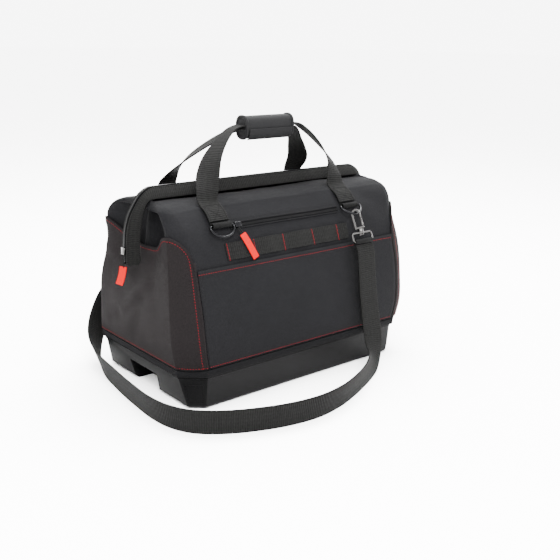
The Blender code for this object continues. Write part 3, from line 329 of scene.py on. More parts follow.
def smooth_path(values: Sequence[Vector], lengths: Sequence[float], count: int) -> list[Vector]:
    """Return vectors on a smooth curve through the given ones.

    Args:
        values: vectors that the curve goes through.
        lengths: distances between their places along the curve.
        count: steps to each span.

    Returns:
        The vectors, the first and last of values kept.
    """
    path, last = [], len(values) - 1

    def slope(i: int) -> Vector:
        """Return the slope at a value."""
        low, high = max(i - 1, 0), min(i + 1, last)
        return (values[high] - values[low]) / sum(lengths[low:high])

    for i in range(last):
        leave, arrive = slope(i) * lengths[i], slope(i + 1) * lengths[i]
        path += [hermite(values[i], values[i + 1], leave, arrive, k / count) for k in range(count)]
    return path + [values[last]]


def spans(points: Sequence[Vector]) -> list[float]:
    """Return the distances between neighbouring points."""
    return [(end - start).length for start, end in zip(points, points[1:])]


def bake(thing: bpy.types.Object) -> bpy.types.Object:
    """Apply an object's modifiers to its mesh and return it."""
    mesh = bpy.data.meshes.new_from_object(thing.evaluated_get(bpy.context.evaluated_depsgraph_get()))
    thing.modifiers.clear()
    thing.data = mesh
    return thing


def add_object(name: str, mesh: bpy.types.Mesh) -> bpy.types.Object:
    """Return a new object of the scene with the mesh."""
    thing = bpy.data.objects.new(name, mesh)
    bpy.context.scene.collection.objects.link(thing)
    return thing


class Value:
    """Float socket of a shader tree, with arithmetic that adds Math nodes."""

    def __init__(self, graph: "Graph", socket: bpy.types.NodeSocket) -> None:
        """Keep the tree and the socket."""
        self.graph, self.socket = graph, socket

    def __add__(self, other: "Value | float") -> "Value":
        """Return the sum."""
        return self.graph.maths("ADD", self, other)

    def __sub__(self, other: "Value | float") -> "Value":
        """Return the difference."""
        return self.graph.maths("SUBTRACT", self, other)

    def __rsub__(self, other: float) -> "Value":
        """Return a number less this value."""
        return self.graph.maths("SUBTRACT", other, self)

    def __mul__(self, other: "Value | float") -> "Value":
        """Return the product."""
        return self.graph.maths("MULTIPLY", self, other)

    __radd__ = __add__
    __rmul__ = __mul__

    def wave(self, pitch: float) -> "Value":
        """Return a sine of this length with the given pitch."""
        return self.graph.maths("SINE", self * (math.tau / pitch))


class Graph:
    """Node tree with one method for every node."""

    def __init__(self, tree: bpy.types.NodeTree) -> None:
        """Keep the tree."""
        self.tree = tree

    def node(self, kind: str, settings: dict | None = None, values: dict | None = None) -> bpy.types.Node:
        """Add a node.

        Args:
            kind: the node's type.
            settings: its properties by name.
            values: its inputs by name or number, each a number, a socket or a Value.

        Returns:
            The node.
        """
        made = self.tree.nodes.new(kind)
        for name, setting in (settings or {}).items():
            setattr(made, name, setting)
        for name, value in (values or {}).items():
            if isinstance(value, Value):
                value = value.socket
            if isinstance(value, bpy.types.NodeSocket):
                self.tree.links.new(value, made.inputs[name])
            else:
                made.inputs[name].default_value = value
        return made

    def maths(self, operation: str, first: Value | float, second: Value | float = 0.0) -> Value:
        """Return the result of a Math node."""
        made = self.node("ShaderNodeMath", {"operation": operation}, {0: first, 1: second})
        return Value(self, made.outputs[0])

    def noise(self, place: bpy.types.NodeSocket, scale: float, detail: float) -> Value:
        """Return a noise value from 0 to 1."""
        made = self.node("ShaderNodeTexNoise", {}, {"Vector": place, "Scale": scale, "Detail": detail})
        return Value(self, made.outputs[0])


@dataclass(frozen=True)
class Finish:
    """Look of a material, with the record's slot that it belongs to."""

    name: str
    slot: str
    colour: tuple[float, float, float]
    roughness: float
    texture: Texture = Texture.SMOOTH
    metallic: float = 0.0
    pitch: float = 0.0012
    relief: float = 0.0003
    # Strength of the random tone, and of the painted shade in the grooves of weave and ribs
    mottle_and_groove_shade: float = 0.10
    mapped: bool = False
    sheen: float = 0.0
    specular: float = 0.25
    SHEEN_ROUGHNESS: ClassVar[float] = 0.6
    FINE_SHARE: ClassVar[float] = 0.9
    LEAST_PITCH: ClassVar[float] = 0.0008
    BROAD_SCALE: ClassVar[float] = 9.0
    BROAD_SHARE: ClassVar[float] = 0.8
    # Share of that strength given to the painted shade in the grooves of weave and ribs
    GROOVE_SHADE_SHARE: ClassVar[float] = 0.9
    ROUGH_RANGE: ClassVar[float] = 0.10
    FINE_DETAIL: ClassVar[float] = 2.0
    BROAD_DETAIL: ClassVar[float] = 3.0
    RIB: ClassVar[float] = 0.36
    CROSS_RIB: ClassVar[float] = 0.10
    CROSS_PITCH: ClassVar[float] = 1.9
    RIB_FUZZ: ClassVar[float] = 0.3
    RIB_BASE: ClassVar[float] = 0.35
    WEAVE: ClassVar[float] = 0.4
    WEAVE_FUZZ: ClassVar[float] = 0.4
    WEAVE_BASE: ClassVar[float] = 0.3

    def material(self) -> bpy.types.Material:
        """Return the procedural material, made on first use.

        Returns:
            A Principled material that reads Object coordinates, or the piece's map.
        """
        if self.name in bpy.data.materials:
            return bpy.data.materials[self.name]
        made = bpy.data.materials.new(self.name)
        made.use_nodes = True
        graph = Graph(made.node_tree)
        shader = made.node_tree.nodes["Principled BSDF"]
        shader.inputs["Metallic"].default_value = self.metallic
        shader.inputs["Specular IOR Level"].default_value = self.specular
        shader.inputs["Sheen Weight"].default_value = self.sheen
        shader.inputs["Sheen Roughness"].default_value = self.SHEEN_ROUGHNESS
        place = graph.node("ShaderNodeTexCoord").outputs["Object"]
        fine = graph.noise(place, self.FINE_SHARE / max(self.pitch, self.LEAST_PITCH), self.FINE_DETAIL)
        broad = graph.noise(place, self.BROAD_SCALE, self.BROAD_DETAIL)
        tone = (fine - 0.5) * self.mottle_and_groove_shade + (broad - 0.5) * (self.mottle_and_groove_shade * self.BROAD_SHARE) + 1.0
        height = self.height(graph, place, fine)
        # Painted shade: weave and ribs darken the colour where their relief is low, in the grooves
        if self.texture in (Texture.WOVEN, Texture.RIBBED):
            tone = tone + (height - 0.5) * (self.mottle_and_groove_shade * self.GROOVE_SHADE_SHARE)
        colour = graph.node("ShaderNodeVectorMath", {"operation": "SCALE"}, {0: self.colour, "Scale": tone})
        graph.tree.links.new(colour.outputs[0], shader.inputs["Base Color"])
        rough = (broad - 0.5) * self.ROUGH_RANGE + self.roughness
        graph.tree.links.new(rough.socket, shader.inputs["Roughness"])
        if self.relief:
            bump = graph.node("ShaderNodeBump", {},
                              {"Strength": 1.0, "Distance": self.relief, "Height": height})
            graph.tree.links.new(bump.outputs[0], shader.inputs["Normal"])
        return made

    def height(self, graph: Graph, place: bpy.types.NodeSocket, fine: Value) -> Value:
        """Return the fine relief from 0 to 1.

        Args:
            graph: the material's tree.
            place: Object coordinates.
            fine: fine noise that roughens the relief.

        Returns:
            The height of the weave, ribs or grain.
        """
        if self.texture in (Texture.SMOOTH, Texture.GRAINED):
            return fine
        source = graph.node("ShaderNodeUVMap", {"uv_map": "cloth"}).outputs[0] if self.mapped else place
        split = graph.node("ShaderNodeSeparateXYZ", {}, {0: source})
        along, across = Value(graph, split.outputs[0]), Value(graph, split.outputs[1 if self.mapped else 2])
        if self.texture is Texture.RIBBED:
            ribs = along.wave(self.pitch) * self.RIB
            ribs = ribs + across.wave(self.pitch * self.CROSS_PITCH) * self.CROSS_RIB
            return ribs + fine * self.RIB_FUZZ + self.RIB_BASE
        weave = along.wave(self.pitch) * across.wave(self.pitch) * self.WEAVE
        return weave + fine * self.WEAVE_FUZZ + self.WEAVE_BASE


BODY_CLOTH = Finish("body_fabric", "body_cloth", (0.0022, 0.0022, 0.0025), 0.78, Texture.WOVEN,
                    pitch=0.0022, relief=0.00040, mottle_and_groove_shade=0.55, mapped=True, specular=0.030)
END_CLOTH = Finish("end_fabric", "end_cloth", (0.0025, 0.0020, 0.0021), 0.78, Texture.WOVEN,
                   pitch=0.0022, relief=0.00040, mottle_and_groove_shade=0.55, mapped=True, specular=0.030)
WEBBING = Finish("ribbed_webbing", "webbing", (0.0023, 0.0023, 0.0022), 0.80, Texture.RIBBED,
                 pitch=0.0034, relief=0.00060, mottle_and_groove_shade=0.80, mapped=True, specular=0.034)
FOLDED_WEBBING = Finish("folded_webbing", "webbing", (0.0018, 0.0018, 0.0018), 0.80, Texture.RIBBED,
                        pitch=0.0026, relief=0.00035, mottle_and_groove_shade=0.50, specular=0.03)
GRIP_CLOTH = Finish("grip_fabric", "webbing", (0.0029, 0.0029, 0.0031), 0.74, Texture.WOVEN,
                    pitch=0.0018, relief=0.00030, mottle_and_groove_shade=0.40, specular=0.05)
WELT_CLOTH = Finish("welt_fabric", "body_cloth", (0.0015, 0.0015, 0.0017), 0.78, Texture.WOVEN,
                    pitch=0.0014, relief=0.00020, mottle_and_groove_shade=0.30, specular=0.03)
TRAY_PLASTIC = Finish("moulded_plastic", "tray_plastic", (0.0009, 0.0009, 0.0010), 0.50, Texture.GRAINED,
                      pitch=0.0011, relief=0.00008, mottle_and_groove_shade=0.20, specular=0.028)
ZIP_TAPE = Finish("zip_tape", "zip_coil", (0.0011, 0.0011, 0.0012), 0.75, Texture.WOVEN,
                  pitch=0.0010, relief=0.00012, specular=0.02)
ZIP_TEETH = Finish("zip_teeth", "zip_coil", (0.0012, 0.0012, 0.0013), 0.35, relief=0.0, specular=0.05)
CORD = Finish("pull_cord", "zip_coil", (0.0014, 0.0014, 0.0014), 0.70, relief=0.00010, specular=0.05)
RING_METAL = Finish("dark_metal", "black_metal", (0.0055, 0.0055, 0.0060), 0.22, metallic=1.0, relief=0.0,
                    mottle_and_groove_shade=0.15)
HOOK_METAL = Finish("bright_metal", "black_metal", (0.036, 0.035, 0.034), 0.18, metallic=1.0, relief=0.0,
                    mottle_and_groove_shade=0.15)
RED_CLOTH = Finish("red_fabric", "red_tab", (0.17, 0.0005, 0.0004), 0.80, Texture.WOVEN, pitch=0.0016,
                   relief=0.00018, mottle_and_groove_shade=0.12, mapped=True, specular=0.03)
RED_THREAD = Finish("red_thread", "red_tab", (0.070, 0.0008, 0.0024), 0.70, relief=0.0, specular=0.03)
DARK_THREAD = Finish("dark_thread", "webbing", (0.0014, 0.0014, 0.0014), 0.70, relief=0.0, specular=0.03)


def place_piece(thing: bpy.types.Object, finish: Finish, replaces: Sequence[str] = ()) -> None:
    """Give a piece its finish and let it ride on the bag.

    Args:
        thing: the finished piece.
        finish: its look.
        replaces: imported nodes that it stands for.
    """
    thing.data.materials.clear()
    thing.data.materials.append(finish.material())
    if replaces:
        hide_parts(*replaces)
    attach(thing, "bag")
    LOG.info("%s: %d faces", thing.name, len(thing.data.polygons))


class Grid:
    """Rows of points that make one sheet, with a map in metres."""

    BEND = 55.0

    def __init__(self, rows: list[list[Vector]], wrap: bool = False, middle: Vector | None = None) -> None:
        """Keep the rows and turn them so that their normals point outwards.

        Args:
            rows: rows of equal count.
            wrap: whether each row closes on itself.
            middle: point that the outside faces away from.
        """
        self.rows, self.wrap = rows, wrap
        if middle is not None:
            normals = self.normals()
            total = sum((n.dot(p - middle) for row, line in zip(rows, normals) for p, n in zip(row, line)))
            if total < 0:
                self.rows = rows[::-1]

    def normals(self) -> list[list[Vector]]:
        """Return the unit normal at each point."""
        found, top = [], len(self.rows) - 1
        for k, row in enumerate(self.rows):
            last, line = len(row) - 1, []
            above, below = self.rows[min(k + 1, top)], self.rows[max(k - 1, 0)]
            for i in range(last + 1):
                after = row[(i + 1) % (last + 1)] if self.wrap else row[min(i + 1, last)]
                before = row[i - 1] if self.wrap or i else row[0]
                line.append((after - before).cross(above[i] - below[i]).normalized())
            found.append(line)
        return found

    def lifted(self, lift: Callable[[int, Vector], float]) -> "Grid":
        """Return the grid moved along its normals.

        Args:
            lift: gives the distance for a column and a point.

        Returns:
            The moved grid.
        """
        normals = self.normals()
        rows = [[p + n * lift(i, p) for i, (p, n) in enumerate(zip(row, line))]
                for row, line in zip(self.rows, normals)]
        return Grid(rows, self.wrap)

    def solid(self, name: str, thickness: float, offset: float = 1.0,
              bevel: float = 0.0) -> bpy.types.Object:
        """Make a closed wall from the grid.

        Args:
            name: the object's name.
            thickness: the wall's thickness.
            offset: 1 to grow outwards, -1 inwards and 0 both ways.
            bevel: width of its rounded edges.

        Returns:
            The object, with its modifiers applied.
        """
        count, top = len(self.rows[0]), len(self.rows) - 1
        columns = count if self.wrap else count - 1
        along = [0.0]
        middle = self.rows[top // 2]
        for i in range(columns):
            along.append(along[-1] + (middle[(i + 1) % count] - middle[i]).length)
        across = [0.0]
        for k in range(top):
            across.append(across[-1] + (self.rows[k + 1][count // 2] - self.rows[k][count // 2]).length)
        faces, corners = [], []
        for k in range(top):
            for i in range(columns):
                j = (i + 1) % count
                faces.append((k * count + i, k * count + j, (k + 1) * count + j, (k + 1) * count + i))
                corners += [(along[i], across[k]), (along[i + 1], across[k]), (along[i + 1], across[k + 1]),
                            (along[i], across[k + 1])]
        mesh = bpy.data.meshes.new(name)
        mesh.from_pydata([tuple(p) for row in self.rows for p in row], [], faces)
        layer = mesh.uv_layers.new(name="cloth")
        layer.data.foreach_set("uv", [number for corner in corners for number in corner])
        mesh.shade_smooth()
        thing = add_object(name, mesh)
        wall = thing.modifiers.new("wall", "SOLIDIFY")
        wall.thickness, wall.offset = thickness, offset
        if bevel:
            edge = thing.modifiers.new("edge", "BEVEL")
            edge.width, edge.segments, edge.limit_method = bevel, 2, "ANGLE"
            edge.angle_limit = math.radians(self.BEND)
        return bake(thing)


def bridged(name: str, rings: Sequence[Sequence[Vector]], closed: bool = False) -> bpy.types.Object:
    """Join rings of points into a closed piece.

    Args:
        name: the object's name.
        rings: rings of equal count.
        closed: whether the last ring meets the first, and if not, both are capped.

    Returns:
        The mesh object.
    """
    shape = bmesh.new()
    made = [[shape.verts.new(p) for p in ring] for ring in rings]
    for low, high in zip(made, made[1:] + made[:1] if closed else made[1:]):
        for i in range(len(low)):
            j = (i + 1) % len(low)
            shape.faces.new((low[i], low[j], high[j], high[i]))
    if not closed:
        shape.faces.new(made[0][::-1])
        shape.faces.new(made[-1])
    bmesh.ops.recalc_face_normals(shape, faces=shape.faces)
    mesh = bpy.data.meshes.new(name)
    shape.to_mesh(mesh)
    shape.free()
    mesh.shade_smooth()
    return add_object(name, mesh)


def tube(name: str, path: Sequence[Vector], radius: float, sides: int = 8,
         closed: bool = False) -> bpy.types.Object:
    """Make a round piece along a path.

    Args:
        name: the object's name.
        path: centre points.
        radius: its radius.
        sides: sides of its section.
        closed: whether the path closes on itself.

    Returns:
        The closed mesh object.
    """
    rings, last, guide = [], len(path) - 1, None
    angles = [math.tau * k / sides for k in range(sides)]
    for i, point in enumerate(path):
        after = path[(i + 1) % len(path)] if closed else path[min(i + 1, last)]
        before = path[i - 1] if closed or i else path[0]
        along = (after - before).normalized()
        if guide is None:
            guide = along.orthogonal().normalized()
        guide = (guide - along * guide.dot(along)).normalized()
        other = along.cross(guide)
        rings.append([point + (guide * math.cos(a) + other * math.sin(a)) * radius for a in angles])
    return bridged(name, rings, closed)


def softened(node: str, name: str, width: float, segments: int, angle: float = 25.0) -> bpy.types.Object:
    """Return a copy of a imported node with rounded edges.

    Args:
        node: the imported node's name.
        name: the copy's name.
        width: width of the rounded edges.
        segments: steps across an edge.
        angle: smallest bend in degrees that is rounded.

    Returns:
        The copy, with its modifiers applied.
    """
    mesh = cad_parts[node].data.copy()
    shape = bmesh.new()
    shape.from_mesh(mesh)
    bmesh.ops.remove_doubles(shape, verts=shape.verts, dist=WELD)
    bmesh.ops.dissolve_limit(shape, angle_limit=math.radians(1), verts=shape.verts, edges=shape.edges)
    shape.to_mesh(mesh)
    shape.free()
    mesh.shade_smooth()
    thing = add_object(name, mesh)
    edge = thing.modifiers.new("edge", "BEVEL")
    edge.width, edge.segments, edge.limit_method = width, segments, "ANGLE"
    edge.angle_limit, edge.harden_normals = math.radians(angle), True
    return bake(thing)


class Scatter:
    """Geometry Nodes tree that repeats a small form along a line."""

    INPUTS = (("Spacing", "NodeSocketFloat"), ("Length", "NodeSocketFloat"), ("Width", "NodeSocketFloat"),
              ("Height", "NodeSocketFloat"), ("Square", "NodeSocketBool"), ("Seed", "NodeSocketInt"),
              ("Material", "NodeSocketMaterial"))
    SEED = 7
    UNEVEN = (0.90, 1.08)

    def __init__(self) -> None:
        """Build the tree."""
        self.tree = bpy.data.node_groups.new("repeat_along_line", "GeometryNodeTree")
        face = self.tree.interface
        face.new_socket(name="Line", in_out="INPUT", socket_type="NodeSocketGeometry")
        self.names = {name: face.new_socket(name=name, in_out="INPUT", socket_type=kind).identifier
                      for name, kind in self.INPUTS}
        face.new_socket(name="Geometry", in_out="OUTPUT", socket_type="NodeSocketGeometry")
        graph = Graph(self.tree)
        given = graph.node("NodeGroupInput").outputs
        curve = graph.node("GeometryNodeMeshToCurve", {}, {"Mesh": given["Line"]})
        line = graph.node("GeometryNodeResampleCurve", {"mode": "LENGTH"},
                          {"Curve": curve.outputs[0], "Length": given["Spacing"]})
        rise = graph.node("GeometryNodeInputNamedAttribute", {"data_type": "FLOAT_VECTOR"}, {"Name": "rise"})
        turn = graph.node("FunctionNodeAxesToRotation", {"primary_axis": "Z", "secondary_axis": "X"},
                          {0: rise.outputs[0], 1: graph.node("GeometryNodeInputTangent").outputs[0]})
        uneven = graph.node("FunctionNodeRandomValue", {"data_type": "FLOAT"},
                            {2: self.UNEVEN[0], 3: self.UNEVEN[1], "Seed": given["Seed"]})
        length = Value(graph, given["Length"]) * Value(graph, uneven.outputs[1])
        size = graph.node("ShaderNodeCombineXYZ", {}, {0: length, 1: given["Width"], 2: given["Height"]})
        ball = graph.node("GeometryNodeMeshUVSphere", {}, {"Segments": 6, "Rings": 4, "Radius": 0.5})
        cube = graph.node("GeometryNodeMeshCube", {}, {"Size": (1.0, 1.0, 1.0)})
        unit = graph.node("GeometryNodeSwitch", {"input_type": "GEOMETRY"},
                          {"Switch": given["Square"], "False": ball.outputs[0], "True": cube.outputs[0]})
        many = graph.node("GeometryNodeInstanceOnPoints", {},
                          {"Points": line.outputs[0], "Instance": unit.outputs[0],
                           "Rotation": turn.outputs[0], "Scale": size.outputs[0]})
        real = graph.node("GeometryNodeRealizeInstances", {}, {"Geometry": many.outputs[0]})
        done = graph.node("GeometryNodeSetMaterial", {},
                          {"Geometry": real.outputs[0], "Material": given["Material"]})
        graph.node("NodeGroupOutput", {}, {"Geometry": done.outputs[0]})

    def along(self, name: str, runs: Sequence[Line], spacing: float,
              size: tuple[float, float, float], finish: Finish, square: bool = False) -> None:
        """Repeat the form along lines.

        Args:
            name: the object's name.
            runs: lines, each of points with the direction that the form's top faces.
            spacing: distance between forms.
            size: length, width and height of a form.
            finish: its look.
            square: whether the form is a block and not rounded.
        """
        mesh = bpy.data.meshes.new(name)
        points = [pair for run in runs for pair in run]
        edges, start = [], 0
        for run in runs:
            edges += [(start + i, start + i + 1) for i in range(len(run) - 1)]
            start += len(run)
        mesh.from_pydata([tuple(p) for p, _ in points], edges, [])
        layer = mesh.attributes.new("rise", "FLOAT_VECTOR", "POINT")
        layer.data.foreach_set("vector", [number for _, normal in points for number in normal])
        thing = add_object(name, mesh)
        maker = thing.modifiers.new("repeat", "NODES")
        maker.node_group = self.tree
        values = (spacing, *size, square, self.SEED, finish.material())
        for (key, _), value in zip(self.INPUTS, values):
            maker[self.names[key]] = value
        bake(thing)
        if not square:
            thing.data.shade_smooth()
        place_piece(thing, finish)


class Skin:
    """Finished cloth that lines are pressed on to."""

    REACH = 0.03

    def __init__(self, things: Sequence[bpy.types.Object]) -> None:
        """Gather the faces of the pieces."""
        points, faces = [], []
        for thing in things:
            start = len(points)
            points += [v.co.copy() for v in thing.data.vertices]
            faces += [[start + i for i in face.vertices] for face in thing.data.polygons]
        self.tree = BVHTree.FromPolygons(points, faces)

    def press(self, line: Line, lift: float = 0.0) -> Line:
        """Return a line laid on the cloth.

        Args:
            line: points near the cloth, each with its outward direction.
            lift: distance kept from the cloth.

        Returns:
            Points on the outer surface, each with the surface's normal.
        """
        found = []
        for point, out in line:
            hit, normal, _, _ = self.tree.ray_cast(point + out * self.REACH, -out, 2 * self.REACH)
            if hit is None:
                continue
            if normal.dot(out) < 0:
                normal = -normal
            found.append((hit + normal * lift, normal))
        return found


@dataclass(frozen=True)
class BodyShape:
    """Shape of the cloth body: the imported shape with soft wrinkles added."""

    seam: float = 0.067
    height: float = 0.235
    length: float = 0.465
    width: float = 0.281
    corner: float = 0.034
    corner_skew: float = 0.80
    corner_crown: float = 0.08
    tuck: float = 0.030
    notch: float = 0.014
    tuck_place: float = 0.34
    right_swell: float = 0.016
    swell_fade: float = 0.65
    eave_drop: float = 0.006
    eave_fade: float = 0.3
    sag: Ripple = Ripple(0.0024, (0.085, 0.085, 0.07), 0.0)
    crumple: Ripple = Ripple(0.0009, (0.034, 0.034, 0.045), 5.0)
    foot_fade: float = 0.03
    slope_step: float = 0.001

    def point(self, place: Place, height: float, slack: float = 1.0) -> Vector:
        """Return the point of the body at a place and a share of its height.

        Args:
            place: the place around it.
            height: share of its height.
            slack: share of the end's folds that a looser layer follows.

        Returns:
            The point, without wrinkles.
        """
        point = self.plain_point(place, height, slack)
        moved = point.copy()
        for ear in EARS:
            near = (point - Vector(ear.point)).length / ear.reach
            moved += Vector(ear.shift) * math.exp(-near * near)
        return moved

    def plain_point(self, place: Place, height: float, slack: float) -> Vector:
        """Return the point before the ears are drawn out.

        Args:
            place: the place around the body.
            height: share of its height.
            slack: share of the end's folds that a looser layer follows.

        Returns:
            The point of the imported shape.
        """
        level = level_at(height)
        reach = self.reach(level, place.side_x)
        depth = level.width * self.width / 2
        leg_x = level.corner * self.corner
        leg_y = leg_x * self.corner_skew
        fall = level.corner_drop * self.eave_drop
        base = self.seam + height * self.height
        if place.zone is Zone.FACE:
            x = abs(place.share) * (reach - leg_x) * place.side_x
            return Vector((x, place.side_y * depth, base - fall * place.share**6))
        if place.zone is Zone.CORNER:
            t = place.share
            crown = self.corner_crown * leg_x * 4 * t * (1 - t)
            return Vector((place.side_x * (reach - leg_x * (1 - t) + crown),
                           place.side_y * (depth - leg_y * t + crown), base - fall))
        v = place.share
        tuck = level.tuck * self.tuck * slack
        notch = level.notch * self.notch * (1 + slack) / 2
        inner = ease((1 - abs(v)) / (1 - self.tuck_place))
        fold = tuck * inner
        if abs(v) < self.tuck_place:
            fold = notch + (tuck - notch) * ease(abs(v) / self.tuck_place)
        if place.side_x > 0:
            fold += level.swell * self.right_swell * self.swell_fade * inner
        fall += (level.end_drop - level.corner_drop) * self.eave_drop * ease((1 - abs(v)) / self.eave_fade)
        return Vector((place.side_x * (reach - fold), v * (depth - leg_y), base - fall))

    def face(self, x: float, height: float, side_y: int) -> Vector:
        """Return the point of the front or back at x and a height in metres over the seam."""
        level = level_at(height / self.height)
        side_x = 1 if x > 0 else -1
        half = self.reach(level, side_x) - level.corner * self.corner
        return self.point(Place(Zone.FACE, abs(x) / half, side_x, side_y), height / self.height)

    def reach(self, level: Level, side_x: int) -> float:
        """Return how far an end stands from the middle at a level."""
        return level.length * self.length / 2 + (level.swell * self.right_swell if side_x > 0 else 0.0)

    def face_frame(self, x: float, height: float, side_y: int) -> tuple[Vector, Vector, Vector]:
        """Return a point of the front or back with its outward and upward directions."""
        step, point = self.slope_step, self.face(x, height, side_y)
        upward = (self.face(x, height + step, side_y) - self.face(x, height - step, side_y)).normalized()
        normal = X_AXIS.cross(upward)
        return point, normal if normal.y * side_y > 0 else -normal, upward

    def outward(self, place: Place) -> Vector:
        """Return the level direction that a place faces."""
        if place.zone is Zone.FACE:
            return Vector((0, place.side_y, 0))
        if place.zone is Zone.END:
            return Vector((place.side_x, 0, 0))
        return Vector((place.side_x * self.corner_skew, place.side_y, 0)).normalized()

    def ring(self, face: int, corner: int, end: int) -> list[Place]:
        """Return the places round the body from the front's left end.

        Args:
            face: steps along the front and back.
            corner: steps round a corner.
            end: steps across an end.

        Returns:
            The places, anticlockwise from above.
        """
        places = []
        for side in (-1, 1):
            for t in steps(side, -side, face):
                places.append(Place(Zone.FACE, abs(t), 1 if t > 0 else -1, side))
            places += [Place(Zone.CORNER, t, -side, side) for t in steps(0, 1, corner)[1:-1]]
            places += [Place(Zone.END, side * math.cos(math.pi * t), -side, side) for t in steps(0, 1, end)]
            places += [Place(Zone.CORNER, t, -side, -side) for t in steps(1, 0, corner)[1:-1]]
        return places

    def relief(self, point: Vector) -> float:
        """Return how far the cloth stands out at a point.

        Args:
            point: a point of the smooth body.

        Returns:
            The sum of broad sag, fine crumple and named creases, in metres.
        """
        total = self.sag.at(point) + self.crumple.at(point) + sum(crease.at(point) for crease in CREASES)
        return total * ease((point.z - self.seam) / self.foot_fade)


@dataclass
class Studio:
    """Floor, light and camera."""

    focal: float = 52.95
    distance: float = 1.4575
    azimuth: float = -39.98
    elevation: float = 16.43
    roll: float = 0.98
    target: tuple[float, float, float] = (0.0546, -0.0029, 0.1293)
    sensor: float = 36.0
    floor_size: float = 60.0
    floor_colour: tuple[float, float, float, float] = (0.96, 0.96, 0.96, 1.0)
    floor_roughness: float = 0.75
    world: float = 7.6

    def build(self) -> None:
        """Make the camera, the floor and the lights."""
        a, e, r = (math.radians(v) for v in (self.azimuth, self.elevation, self.roll))
        back = Vector((math.sin(a) * math.cos(e), -math.cos(a) * math.cos(e), math.sin(e)))
        right = (-back).cross(Z_AXIS).normalized()
        up = right.cross(-back)
        right, up = right * math.cos(r) + up * math.sin(r), up * math.cos(r) - right * math.sin(r)
        data = bpy.data.cameras.new("camera")
        data.lens, data.sensor_width = self.focal, self.sensor
        camera = bpy.data.objects.new("camera", data)
        bpy.context.scene.collection.objects.link(camera)
        turn = Matrix((right, up, back)).transposed().to_4x4()
        turn.translation = Vector(self.target) + back * self.distance
        camera.matrix_world = turn
        bpy.context.scene.camera = camera
        half = self.floor_size / 2
        mesh = bpy.data.meshes.new("floor")
        corners = [(-half, -half, 0), (half, -half, 0), (half, half, 0), (-half, half, 0)]
        mesh.from_pydata(corners, [], [(0, 1, 2, 3)])
        floor = add_object("floor", mesh)
        pale = bpy.data.materials.new("pale_floor")
        pale.use_nodes = True
        shader = pale.node_tree.nodes["Principled BSDF"]
        shader.inputs["Base Color"].default_value = self.floor_colour
        shader.inputs["Roughness"].default_value = self.floor_roughness
        mesh.materials.append(pale)
        world = bpy.data.worlds.new("studio")
        world.use_nodes = True
        world.node_tree.nodes["Background"].inputs["Color"].default_value = (1, 1, 1, 1)
        world.node_tree.nodes["Background"].inputs["Strength"].default_value = self.world
        bpy.context.scene.world = world
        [self.light(lamp) for lamp in LAMPS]

    def light(self, lamp: Lamp) -> bpy.types.Object:
        """Return a square light that faces the bag.

        Args:
            lamp: its table row.

        Returns:
            The light.
        """
        data = bpy.data.lights.new(lamp.name, "AREA")
        data.size, data.energy = lamp.size, lamp.power
        light = bpy.data.objects.new(lamp.name, data)
        bpy.context.scene.collection.objects.link(light)
        light.location = lamp.place
        light.rotation_euler = (Vector(self.target) - Vector(lamp.place)).to_track_quat("-Z", "Y").to_euler()
        return light


@dataclass
class Tray:
    """Moulded tray and the padded edge on it."""

    edge: float = 0.0011
    welt_edge: float = 0.0024
    welt_bend: float = 12.0

    def build(self) -> None:
        """Make both with rounded edges."""
        tray = softened("base_tray", "tray", self.edge, 3)
        place_piece(tray, TRAY_PLASTIC, ["base_tray"])
        welt = softened("base_welt", "welt", self.welt_edge, 3, self.welt_bend)
        place_piece(welt, WELT_CLOTH, ["base_welt"])


